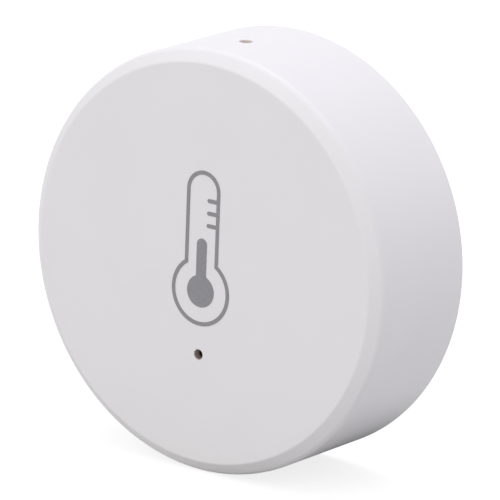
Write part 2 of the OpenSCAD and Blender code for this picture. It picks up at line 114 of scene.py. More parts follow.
class Ends(Enum):
    """How a turned piece is closed at its first and last ring."""

    CAPPED = "capped"
    JOINED = "joined"


class Join(Enum):
    """How one solid is worked into another."""

    FUSE = "UNION"
    CUT = "DIFFERENCE"


class Plug(Enum):
    """Socket types of a node group."""

    VALUE = "NodeSocketFloat"
    COLOUR = "NodeSocketColor"
    VECTOR = "NodeSocketVector"


class Body(Enum):
    """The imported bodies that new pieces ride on."""

    WALL_COVER = "wall_cover"
    SENSOR = "sensor_body"


class Slot(Enum):
    """The record's material slots, one named for each new piece."""

    SHELL = "shell_plastic"
    TAPE = "acrylic_tape"
    TUB = "tub_plastic"
    SCREW = "screw_steel"
    CELL = "cell_metal"
    FILM = "cell_film"
    CONTACT = "contact_metal"
    COPPER = "track_copper"


class Joint(Enum):
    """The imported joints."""

    RESET_PRESS = "reset_press"


@dataclass(frozen=True)
class Fits:
    """Sizes and places at which the sub-assemblies meet."""

    body_r: float = 29.994
    wall: float = 2.0
    rebate: float = 1.15
    front: float = 20.55
    back: float = 0.8
    ledge: float = 2.45
    snap_depth: float = 5.2
    snap_w: float = 1.2
    key_end: float = 4.4
    post_x: float = 13.5
    post_z: float = 16.25
    switch_depth: float = 12.1

    @property
    def bore_r(self) -> float:
        """Radius of the inside of the shell."""
        return self.body_r - self.wall

    @property
    def rebate_r(self) -> float:
        """Radius of the recess that the cover lies in."""
        return self.body_r - self.rebate


FITS = Fits()


# Hand tools


def deselect() -> None:
    """Leaves edit mode and leaves nothing selected."""
    if bpy.context.mode != "OBJECT":
        bpy.ops.object.mode_set(mode="OBJECT")
    bpy.ops.object.select_all(action="DESELECT")


def pick(piece: Piece) -> None:
    """Selects one piece and makes it active.

    Args:
        piece: The object.
    """
    deselect()
    piece.select_set(True)
    bpy.context.view_layer.objects.active = piece


def apply_place(piece: Piece) -> None:
    """Puts a piece's place, turn and scale into its mesh."""
    pick(piece)
    bpy.ops.object.transform_apply(location=True, rotation=True, scale=True)


def apply_step(piece: Piece, kind: str, **settings: Any) -> None:
    """Gives a piece a modifier and applies it.

    Args:
        piece: The mesh object.
        kind: Blender's name of the modifier type.
        settings: The modifier's own properties.
    """
    pick(piece)
    step = piece.modifiers.new("step", kind)
    for key, value in settings.items():
        setattr(step, key, value)
    bpy.ops.object.modifier_apply(modifier=step.name)


def name_piece(piece: Piece, name: str) -> Piece:
    """Names a piece and its mesh alike.

    Args:
        piece: The mesh object.
        name: Its new name.

    Returns:
        The same object.
    """
    piece.name = name
    piece.data.name = name
    return piece


def select_edges(piece: Piece, wanted: EdgeTest) -> None:
    """Opens a piece in edit mode with only some edges selected.

    Args:
        piece: The mesh object.
        wanted: Takes the places of an edge's two ends, in metres, and says whether to select it.
    """
    pick(piece)
    bpy.ops.object.mode_set(mode="EDIT")
    bpy.ops.mesh.select_mode(type="EDGE")
    bpy.ops.mesh.select_all(action="DESELECT")
    mesh = bmesh.from_edit_mesh(piece.data)
    for edge in mesh.edges:
        if wanted(edge.verts[0].co, edge.verts[1].co):
            edge.select_set(True)
    bmesh.update_edit_mesh(piece.data)


def on_ring(axis: Axis, radius: float, place: float, centre: Vector = Vector()) -> EdgeTest:
    """Makes a test for the edges of one ring of a turned piece.

    Args:
        axis: The axis that the piece was turned on.
        radius: Radius of the ring.
        place: Place of the ring along the axis, from the centre.
        centre: A point on the axis.

    Returns:
        The test.
    """

    def at(point: Vector) -> bool:
        """Says whether a point lies on the ring.

        Args:
            point: The point, in metres.

        Returns:
            True if it does.
        """
        arm = point - centre * MM
        along = arm.dot(axis.along)
        out = (arm - axis.along * along).length
        return max(abs(along - place * MM), abs(out - radius * MM)) < RING_PLAY * MM

    return lambda a, b: at(a) and at(b)


def round_edges(piece: Piece, wanted: EdgeTest, width: float, segments: int = ROUND_STEPS) -> None:
    """Rounds the edges that a test picks.

    Args:
        piece: The mesh object.
        wanted: Says which edges to round.
        width: How far the round runs into each face.
        segments: Number of faces across the round.
    """
    select_edges(piece, wanted)
    bpy.ops.mesh.bevel(offset=width * MM, offset_type="OFFSET", segments=segments, affect="EDGES",
                       clamp_overlap=True)
    bpy.ops.object.mode_set(mode="OBJECT")


def close_seams(piece: Piece, reach: float = WELD) -> None:
    """Merges doubled points and turns every face outwards.

    Args:
        piece: The mesh object.
        reach: How close two points must lie to be merged.
    """
    pick(piece)
    bpy.ops.object.mode_set(mode="EDIT")
    bpy.ops.mesh.select_all(action="SELECT")
    bpy.ops.mesh.remove_doubles(threshold=reach * MM)
    bpy.ops.mesh.normals_make_consistent(inside=False)
    bpy.ops.object.mode_set(mode="OBJECT")


def turn_piece(name: str, axis: Axis, rings: Sequence[Ring], sides: int, centre: Vector = Vector(),
               ends: Ends = Ends.CAPPED) -> Piece:
    """Turns a piece: a circle is extruded ring by ring and scaled to each radius.

    Args:
        name: Name of the piece.
        axis: Axis that it is turned on.
        rings: Radius and place along the axis of each ring, in order along the outline.
        sides: Number of sides of each ring.
        centre: A point on the axis.
        ends: Whether the first and last ring get a flat cap or are the same ring.

    Returns:
        The closed mesh object.
    """
    deselect()
    middle = centre * MM
    radius, place = rings[0]
    bpy.ops.mesh.primitive_circle_add(vertices=sides, radius=radius * MM, fill_type="NOTHING",
                                      location=middle + axis.along * place * MM, rotation=axis.turn)
    piece = name_piece(bpy.context.active_object, name)
    apply_place(piece)
    bpy.ops.object.mode_set(mode="EDIT")
    bpy.ops.mesh.select_mode(type="EDGE")
    bpy.ops.mesh.select_all(action="SELECT")
    for (radius, place), (next_radius, next_place) in zip(rings, rings[1:]):
        step = axis.along * (next_place - place) * MM
        bpy.ops.mesh.extrude_edges_move(TRANSFORM_OT_translate={"value": step})
        grow = next_radius / radius
        bpy.ops.transform.resize(value=[1.0 if part else grow for part in axis.along],
                                 center_override=middle + axis.along * next_place * MM)
    if ends is Ends.CAPPED:
        bpy.ops.mesh.edge_face_add()
        select_edges(piece, on_ring(axis, *rings[0], centre=centre))
        bpy.ops.mesh.edge_face_add()
    bpy.ops.object.mode_set(mode="OBJECT")
    close_seams(piece)
    return piece


def block_piece(name: str, low: Vector, high: Vector, edge: float = 0.0) -> Piece:
    """Makes a block between two corners, with its edges rounded.

    Args:
        name: Name of the piece.
        low: Lowest corner.
        high: Highest corner.
        edge: Width of the round on every edge, or 0 for none.

    Returns:
        The mesh object.
    """
    deselect()
    bpy.ops.mesh.primitive_cube_add(size=1.0, location=(low + high) / 2 * MM)
    piece = name_piece(bpy.context.active_object, name)
    piece.scale = (high - low) * MM
    apply_place(piece)
    if edge:
        round_edges(piece, lambda a, b: True, edge)
    return piece


def work_in(piece: Piece, tool: Piece, how: Join) -> None:
    """Fuses a second solid into a piece or cuts it away, and removes the second solid.

    Args:
        piece: The piece that stays.
        tool: The solid that is used up.
        how: Whether it is fused or cut.
    """
    apply_step(piece, "BOOLEAN", operation=how.value, solver="EXACT", object=tool)
    mesh = tool.data
    bpy.data.objects.remove(tool)
    bpy.data.meshes.remove(mesh)


def smooth_piece(piece: Piece, angle_deg: float = SOFT_DEG) -> None:
    """Shades a piece smooth across soft edges, with the large faces kept flat.

    Args:
        piece: The mesh object.
        angle_deg: Edges sharper than this stay crisp.
    """
    pick(piece)
    bpy.ops.object.shade_smooth_by_angle(angle=math.radians(angle_deg))
    apply_step(piece, "WEIGHTED_NORMAL", keep_sharp=True)


def copy_piece(piece: Piece, name: str, place: Matrix | None = None) -> Piece:
    """Copies a piece or a CAD node, with a mesh of its own.

    Args:
        piece: What to copy, which isn't changed.
        name: Name of the copy.
        place: Where the copy goes, as a matrix on the piece's own mesh, or none to leave it there.

    Returns:
        The copy, at the origin, with its place in its mesh.
    """
    copy = bpy.data.objects.new(name, piece.data.copy())
    copy.data.name = name
    bpy.context.scene.collection.objects.link(copy)
    if place is not None:
        copy.matrix_world = place
        apply_place(copy)
    return copy


def soften_node(node: Piece, name: str, edge: float) -> Piece:
    """Copies a CAD node, joins its loose triangles into faces and rounds its crisp edges.

    Args:
        node: The CAD node, which isn't changed.
        name: Name of the copy.
        edge: Width of the round.

    Returns:
        The rounded copy.
    """
    piece = copy_piece(node, name)
    pick(piece)
    bpy.ops.mesh.customdata_custom_splitnormals_clear()
    close_seams(piece, NODE_WELD)
    bpy.ops.object.mode_set(mode="EDIT")
    bpy.ops.mesh.dissolve_limited(angle_limit=math.radians(FLAT_DEG))
    bpy.ops.object.mode_set(mode="OBJECT")
    apply_step(piece, "BEVEL", width=edge * MM, segments=ROUND_STEPS, limit_method="ANGLE",
               angle_limit=math.radians(CRISP_DEG), use_clamp_overlap=True)
    smooth_piece(piece)
    return piece


def paint(piece: Piece, finish: Material) -> None:
    """Gives a new piece one finish all over."""
    piece.data.materials.clear()
    piece.data.materials.append(finish)


def place_piece(piece: Piece, body: Body, slot: Slot, finish: Material, *nodes: str) -> None:
    """Dresses a finished piece, sets it on its body and reports it.

    Args:
        piece: The mesh object.
        body: The body that it rides on.
        slot: The record's slot for its finish; not used.
        finish: Its material.
        nodes: The CAD nodes that it stands for.
    """
    paint(piece, finish)
    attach(piece, body.value)
    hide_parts(*nodes)
    LOG.info("%s: %d faces on %s", piece.name, len(piece.data.polygons), body.value)


def dress_node(nodes: Nodes, name: str, finish: Material) -> None:
    """Gives a CAD node that stays in view its finish and reports it.

    Args:
        nodes: The CAD nodes.
        name: Name of the node.
        finish: Its material.
    """
    for holder in nodes[name].material_slots:
        holder.material = finish
    LOG.info("%s: CAD node in %s", name, finish.name)


# Finishes


def rgba(colour: Colour) -> tuple[float, float, float, float]:
    """Adds a full alpha to a colour."""
    return (*colour, 1.0)


class Desk:
    """Adds and joins the nodes of one material or one node group."""

    node_step = 200.0

    def __init__(self, tree: Group) -> None:
        """Starts on an empty tree."""
        self.tree = tree
        tree.nodes.clear()

    def add(self, kind: str, inputs: Inputs | None = None, **settings: Any) -> Node:
        """Adds a node.

        Args:
            kind: Blender's name of the node type.
            inputs: For each input by name or number, a value or the output that feeds it.
            settings: The node's own properties.

        Returns:
            The node.
        """
        node = self.tree.nodes.new(kind)
        node.location = (self.node_step * len(self.tree.nodes), 0.0)
        for key, value in settings.items():
            setattr(node, key, value)
        for key, value in (inputs or {}).items():
            if isinstance(value, bpy.types.NodeSocket):
                self.tree.links.new(value, node.inputs[key])
            else:
                node.inputs[key].default_value = value
        return node

    def object_place(self) -> Socket:
        """Adds the piece's own coordinates, in metres."""
        return self.add("ShaderNodeTexCoord").outputs["Object"]

    def effect(self, group: Group, **inputs: Any) -> Outputs:
        """Places a shared node group with its own values and gives its outputs."""
        return self.add("ShaderNodeGroup", inputs, node_tree=group).outputs

    def value(self, operation: str, *parts: Any) -> Socket:
        """Adds a step of arithmetic on values."""
        return self.add("ShaderNodeMath", dict(enumerate(parts)), operation=operation).outputs["Value"]

    def vector(self, operation: str, *parts: Any) -> Socket:
        """Adds a step of arithmetic on vectors."""
        return self.add("ShaderNodeVectorMath", dict(enumerate(parts)), operation=operation).outputs["Vector"]

    def length(self, vector: Socket) -> Socket:
        """Adds the length of a vector."""
        return self.add("ShaderNodeVectorMath", {0: vector}, operation="LENGTH").outputs["Value"]

    def noise(self, place: Socket, scale: Any, detail: float, rough: float = 0.5) -> Socket:
        """Adds a cloudy noise."""
        inputs = {"Vector": place, "Scale": scale, "Detail": detail, "Roughness": rough}
        return self.add("ShaderNodeTexNoise", inputs).outputs["Fac"]

    def spread(self, value: Socket, source: tuple[Any, Any], target: tuple[Any, Any] = (0.0, 1.0),
               **settings: Any) -> Socket:
        """Stretches one range of a value onto another range.

        Args:
            value: The value.
            source: Where the value's range starts and ends.
            target: What the start and the end become.
            settings: The node's own properties.

        Returns:
            The stretched value.
        """
        inputs = {"Value": value, "From Min": source[0], "From Max": source[1],
                  "To Min": target[0], "To Max": target[1]}
        return self.add("ShaderNodeMapRange", inputs, **settings).outputs["Result"]

    def blend(self, share: Socket, first: Any, second: Any) -> Socket:
        """Mixes two colours, which are the mix node's seventh and eighth inputs and third output."""
        return self.add("ShaderNodeMix", {0: share, 6: first, 7: second}, data_type="RGBA").outputs[2]


def start_material(name: str) -> tuple[Material, Desk]:
    """Makes an empty node material.

    Args:
        name: Name of the material.

    Returns:
        The material and its desk.
    """
    material = bpy.data.materials.new(name)
    material.use_nodes = True
    return material, Desk(material.node_tree)


def start_group(name: str, inputs: Mapping[str, Plug],
                outputs: Mapping[str, Plug]) -> tuple[Group, Desk, Outputs]:
    """Makes a shader node group with named sockets.

    Args:
        name: Name of the group.
        inputs: Type of each input.
        outputs: Type of each output.

    Returns:
        The group, its desk and what it is given.
    """
    group = bpy.data.node_groups.new(name, "ShaderNodeTree")
    for way, sockets in (("INPUT", inputs), ("OUTPUT", outputs)):
        for key, kind in sockets.items():
            group.interface.new_socket(key, in_out=way, socket_type=kind.value)
    desk = Desk(group)
    return group, desk, desk.add("NodeGroupInput").outputs


@dataclass(frozen=True)
class Effects:
    """Node groups that several finishes share."""

    grain: Group
    drift: Group
    drawn: Group
    bore: Group

    @classmethod
    def make(cls) -> "Effects":
        """Builds every group once."""
        return cls(grain=cls._grain(), drift=cls._drift(), drawn=cls._drawn(), bore=cls._bore())

    @staticmethod
    def _grain() -> Group:
        """Lays spark-eroded mould grain: a fine height and a roughness that wanders between two values.

        Returns:
            The group.
        """
        group, desk, given = start_group(
            "mould_grain",
            {"Vector": Plug.VECTOR, "Scale": Plug.VALUE, "Low": Plug.VALUE, "High": Plug.VALUE},
            {"Height": Plug.VALUE, "Roughness": Plug.VALUE})
        slow_share = 0.03
        fine = desk.noise(given["Vector"], given["Scale"], detail=3.0, rough=0.6)
        slow_scale = desk.value("MULTIPLY", given["Scale"], slow_share)
        slow = desk.noise(given["Vector"], slow_scale, detail=2.0)
        rough = desk.spread(slow, NOISE_CORE, (given["Low"], given["High"]))
        desk.add("NodeGroupOutput", {"Height": fine, "Roughness": rough})
        return group

    @staticmethod
    def _drift() -> Group:
        """Lays a colour that drifts slowly between two tones, as resin and ink do.

        Returns:
            The group.
        """
        group, desk, given = start_group(
            "tone_drift",
            {"Vector": Plug.VECTOR, "Scale": Plug.VALUE, "Light": Plug.COLOUR, "Deep": Plug.COLOUR},
            {"Color": Plug.COLOUR})
        cloud = desk.spread(desk.noise(given["Vector"], given["Scale"], detail=4.0), NOISE_BODY)
        desk.add("NodeGroupOutput", {"Color": desk.blend(cloud, given["Light"], given["Deep"])})
        return group

    @staticmethod
    def _drawn() -> Group:
        """Lays fine lines along one axis, as on rolled or drawn metal.

        Returns:
            The group.
        """
        group, desk, given = start_group(
            "drawn_lines",
            {"Vector": Plug.VECTOR, "Scale": Plug.VALUE, "Along": Plug.VECTOR, "Low": Plug.VALUE,
             "High": Plug.VALUE},
            {"Height": Plug.VALUE, "Roughness": Plug.VALUE})
        squeezed = desk.vector("MULTIPLY", given["Vector"], given["Along"])
        lines = desk.noise(squeezed, given["Scale"], detail=3.0)
        rough = desk.spread(lines, NOISE_CORE, (given["Low"], given["High"]))
        desk.add("NodeGroupOutput", {"Height": lines, "Roughness": rough})
        return group

    @staticmethod
    def _bore() -> Group:
        """Lays painted shade and painted light on the wall of a small hole: a tone mixed in close to a point
        on its axis.

        Returns:
            The group.
        """
        group, desk, given = start_group(
            "bore_painted_light",
            {"Vector": Plug.VECTOR, "Color": Plug.COLOUR, "Dust": Plug.COLOUR, "Centre": Plug.VECTOR,
             "Across": Plug.VECTOR, "Radius": Plug.VALUE},
            {"Color": Plug.COLOUR})
        arm = desk.vector("SUBTRACT", given["Vector"], given["Centre"])
        reach = desk.length(desk.vector("MULTIPLY", arm, given["Across"]))
        inside = desk.value("LESS_THAN", reach, given["Radius"])
        desk.add("NodeGroupOutput", {"Color": desk.blend(inside, given["Color"], given["Dust"])})
        return group


@dataclass(frozen=True)
class Bench:
    """What a finish is wired from: its desk, the shared effects and the piece's own coordinates."""

    desk: Desk
    effects: Effects
    place: Socket


@dataclass(frozen=True)
class Finish(ABC):
    """A surface that drifts between two tones, with a range of roughness and a fine relief."""

    name: str
    light: Colour
    deep: Colour
    rough: tuple[float, float] = (0.40, 0.48)
    drift_scale: float = 90.0
    relief_scale: float = 5200.0
    relief_h: float = 0.004
    relief_strength: float = 0.5

    def make(self, effects: Effects) -> Material:
        """Builds the material.

        Args:
            effects: The shared node groups.

        Returns:
            The material.
        """
        material, desk = start_material(self.name)
        height, inputs = self.wire(Bench(desk, effects, desk.object_place()))
        relief = {"Strength": self.relief_strength, "Distance": self.relief_h * MM, "Height": height}
        bump = desk.add("ShaderNodeBump", relief)
        shader = desk.add("ShaderNodeBsdfPrincipled", {**inputs, "Normal": bump.outputs["Normal"]})
        desk.add("ShaderNodeOutputMaterial", {"Surface": shader.outputs["BSDF"]})
        return material

    @abstractmethod
    def wire(self, bench: Bench) -> Wiring:
        """Lays the nodes of one kind of finish.

        Args:
            bench: What it is wired from.

        Returns:
            The height of the relief and the shader's other inputs.
        """

    def tone(self, bench: Bench) -> Socket:
        """Lays the colour that drifts between the two tones."""
        return bench.desk.effect(bench.effects.drift, Vector=bench.place, Scale=self.drift_scale,
                                 Light=rgba(self.light), Deep=rgba(self.deep))["Color"]

    def grain(self, bench: Bench) -> Outputs:
        """Lays the mould grain, which gives a height and a roughness."""
        low, high = self.rough
        return bench.desk.effect(bench.effects.grain, Vector=bench.place, Scale=self.relief_scale,
                                 Low=low, High=high)


@dataclass(frozen=True)
class DustyBore:
    """A tone painted on the wall of a small hole in a moulding: painted shade in the light hole and painted
    warm light in the pinhole.
    """

    painted_tone: Colour
    centre: tuple[float, float, float]
    axis: Axis
    radius: float
    along_share: float = 0.1

    @property
    def across(self) -> Vector:
        """How much each axis counts in the distance from the centre, which is little along the hole."""
        return Vector((1.0, 1.0, 1.0)) - (1.0 - self.along_share) * self.axis.along


@dataclass(frozen=True)
class MouldedResin(Finish):
    """Injection-moulded plastic or resin with a fine spark-eroded grain."""

    # Painted shade and painted light on the walls of small holes
    bores: tuple[DustyBore, ...] = ()

    def wire(self, bench: Bench) -> Wiring:
        """Lays the tone, the painted shade and painted light on the walls of the holes, and the grain.

        Args:
            bench: What it is wired from.

        Returns:
            The height of the relief and the shader's other inputs.
        """
        colour = self.tone(bench)
        for bore in self.bores:
            colour = bench.desk.effect(
                bench.effects.bore, Vector=bench.place, Color=colour, Dust=rgba(bore.painted_tone),
                Centre=Vector(bore.centre) * MM, Across=bore.across, Radius=bore.radius * MM)["Color"]
        grain = self.grain(bench)
        return grain["Height"], {"Base Color": colour, "Roughness": grain["Roughness"]}


@dataclass(frozen=True)
class PrintedInk(Finish):
    """A pad-printed ink layer with a faint silver fleck."""

    rough: tuple[float, float] = (0.36, 0.5)
    drift_scale: float = 1900.0
    relief_h: float = 0.003
    relief_strength: float = 0.3
    fleck_reach: float = 0.7
    metal: float = 0.12

    def wire(self, bench: Bench) -> Wiring:
        """Lays the tone and the fleck.

        Args:
            bench: What it is wired from.

        Returns:
            The height of the relief and the shader's other inputs.
        """
        cells = bench.desk.add("ShaderNodeTexVoronoi", {"Vector": bench.place, "Scale": self.relief_scale})
        fleck = cells.outputs["Distance"]
        gleam = bench.desk.spread(fleck, (0.0, self.fleck_reach), self.rough)
        return fleck, {"Base Color": self.tone(bench), "Roughness": gleam, "Metallic": self.metal}


@dataclass(frozen=True)
class PlatedMetal(Finish):
    """Plated or drawn metal with fine lines along one axis."""

    rough: tuple[float, float] = (0.22, 0.34)
    drift_scale: float = 400.0
    relief_scale: float = 2600.0
    relief_strength: float = 0.25
    along: tuple[float, float, float] = (0.08, 1.0, 1.0)

    def wire(self, bench: Bench) -> Wiring:
        """Lays the tone and the lines.

        Args:
            bench: What it is wired from.

        Returns:
            The height of the relief and the shader's other inputs.
        """
        low, high = self.rough
        lines = bench.desk.effect(bench.effects.drawn, Vector=bench.place, Scale=self.relief_scale,
                                  Along=self.along, Low=low, High=high)
        inputs = {"Base Color": self.tone(bench), "Roughness": lines["Roughness"], "Metallic": 1.0}
        return lines["Height"], inputs


@dataclass(frozen=True)
class ShrinkSleeve(Finish):
    """A glossy plain film on a cell, with a pale band at the end that bears the nub."""

    light: Colour = (0.16, 0.20, 0.26)
    deep: Colour = (0.13, 0.17, 0.23)
    rough: tuple[float, float] = (0.16, 0.26)
    drift_scale: float = 160.0
    relief_scale: float = 1500.0
    relief_h: float = 0.006
    relief_strength: float = 0.2
    band: Colour = (0.62, 0.63, 0.62)
    band_from: float = 15.0
    band_to: float = 17.2
    nub_side: int = 1
    coat: float = 0.3
    coat_rough: float = 0.1

    def wire(self, bench: Bench) -> Wiring:
        """Lays the tone with its band, and the grain under a clear coat.

        Args:
            bench: What it is wired from.

        Returns:
            The height of the relief and the shader's other inputs.
        """
        split = bench.desk.add("ShaderNodeSeparateXYZ", {0: bench.place})
        reach = bench.desk.value("MULTIPLY", split.outputs["X"], float(self.nub_side))
        middle = (self.band_from + self.band_to) / 2 * MM
        half = (self.band_to - self.band_from) / 2 * MM
        stripe = bench.desk.value("COMPARE", reach, middle, half)
        grain = self.grain(bench)
        return grain["Height"], {
            "Base Color": bench.desk.blend(stripe, self.tone(bench), rgba(self.band)),
            "Roughness": grain["Roughness"], "Coat Weight": self.coat, "Coat Roughness": self.coat_rough}


@dataclass(frozen=True)
class SolderMask(Finish):
    """Lacquer over copper, light along blocks of parallel tracks and deep elsewhere."""

    rough: tuple[float, float] = (0.28, 0.4)
    relief_scale: float = 3000.0
    relief_h: float = 0.02
    relief_strength: float = 0.4
    block_scale: float = 170.0
    block_jitter: float = 0.6
    track_pitch: float = 0.9
    track_w: float = 0.26
    level_share: float = 0.5
    bare_share: float = 0.45

    def wire(self, bench: Bench) -> Wiring:
        """Lays the blocks, their level or upright tracks and the grain.

        Args:
            bench: What it is wired from.

        Returns:
            The height of the relief and the shader's other inputs.
        """
        desk = bench.desk
        cells = {"Vector": bench.place, "Scale": self.block_scale, "Randomness": self.block_jitter}
        blocks = desk.add("ShaderNodeTexVoronoi", cells, distance="CHEBYCHEV")
        chance = desk.add("ShaderNodeSeparateColor", {0: blocks.outputs["Color"]}).outputs
        split = desk.add("ShaderNodeSeparateXYZ", {0: bench.place}).outputs
        upright = desk.value("GREATER_THAN", chance["Red"], self.level_share)
        across = desk.add("ShaderNodeMix", {"Factor": upright, "A": split["Z"], "B": split["X"]})
        swing = desk.value("PINGPONG", across.outputs["Result"], self.track_pitch / 2 * MM)
        thin = desk.value("LESS_THAN", swing, self.track_w / 2 * MM)
        routed = desk.value("GREATER_THAN", chance["Green"], self.bare_share)
        line = desk.value("MULTIPLY", thin, routed)
        colour = desk.blend(line, rgba(self.deep), rgba(self.light))
        return line, {"Base Color": colour, "Roughness": self.grain(bench)["Roughness"]}


@dataclass(frozen=True)
class AcrylicTape(Finish):
    """Clear-grey acrylic mounting tape with small trapped bubbles."""

    rough: tuple[float, float] = (0.42, 0.6)
    drift_scale: float = 260.0
    relief_scale: float = 2200.0
    relief_h: float = 0.03
    relief_strength: float = 0.35
    bubble_scale: float = 900.0

    def wire(self, bench: Bench) -> Wiring:
        """Lays the tone, the grain and the bubbles.

        Args:
            bench: What it is wired from.

        Returns:
            The height of the relief and the shader's other inputs.
        """
        cells = {"Vector": bench.place, "Scale": self.bubble_scale}
        bubbles = bench.desk.add("ShaderNodeTexVoronoi", cells, feature="SMOOTH_F1")
        inputs = {"Base Color": self.tone(bench), "Roughness": self.grain(bench)["Roughness"]}
        return bubbles.outputs["Distance"], inputs


@dataclass
class Palette:
    """Every finish of the sensor, made once."""

    shell: Material
    ink: Material
    tub: Material
    tape: Material
    zinc: Material
    can: Material
    sleeve_upper: Material
    sleeve_lower: Material
    nickel: Material
    laminate: Material
    tin: Material
    copper: Material
    resin: Material
    lens: Material
    ceramic: Material

    @classmethod
    def make(cls, bores: tuple[DustyBore, ...]) -> "Palette":
        """Builds every finish from the shared effects.

        Args:
            bores: The painted shade and painted light on the walls of the holes in the shell.

        Returns:
            The finishes.
        """
        finishes: dict[str, Finish] = {
            "shell": MouldedResin("white_satin_resin", (0.83, 0.82, 0.835), (0.815, 0.805, 0.82),
                                  bores=bores),
            "ink": PrintedInk("silver_grey_ink", (0.275, 0.272, 0.288), (0.235, 0.234, 0.25)),
            "tub": MouldedResin("white_tub_resin", (0.78, 0.78, 0.775), (0.755, 0.755, 0.75), (0.46, 0.56)),
            "tape": AcrylicTape("grey_acrylic_tape", (0.60, 0.60, 0.585), (0.52, 0.52, 0.505)),
            "zinc": PlatedMetal("zinc_steel", (0.62, 0.62, 0.63), (0.52, 0.53, 0.55), (0.26, 0.4)),
            "can": PlatedMetal("bright_can", (0.74, 0.74, 0.73), (0.66, 0.66, 0.65), along=(1.0, 0.1, 0.1)),
            "sleeve_upper": ShrinkSleeve("upper_sleeve_film", nub_side=1),
            "sleeve_lower": ShrinkSleeve("lower_sleeve_film", nub_side=-1),
            "nickel": PlatedMetal("nickel_sheet", (0.72, 0.69, 0.64), (0.62, 0.59, 0.54)),
            "laminate": SolderMask("green_solder_mask", (0.05, 0.19, 0.08), (0.02, 0.11, 0.045)),
            "tin": PlatedMetal("tinned_sheet", (0.70, 0.70, 0.69), (0.60, 0.60, 0.60), (0.3, 0.45)),
            "copper": PlatedMetal("gilt_copper", (0.80, 0.56, 0.27), (0.68, 0.45, 0.20)),
            "resin": MouldedResin("black_chip_resin", (0.022, 0.022, 0.023), (0.032, 0.032, 0.032),
                                  (0.45, 0.6)),
            # The light's clear lens is painted a dark amber: painted shade of the dark cavity behind it
            "lens": MouldedResin("lens_resin_painted_shade", (0.13, 0.10, 0.06), (0.10, 0.08, 0.05), (0.12, 0.2)),
            "ceramic": MouldedResin("tan_ceramic", (0.44, 0.32, 0.20), (0.36, 0.26, 0.16), (0.35, 0.5)),
        }
        effects = Effects.make()
        return cls(**{key: finish.make(effects) for key, finish in finishes.items()})


# Sub-assemblies


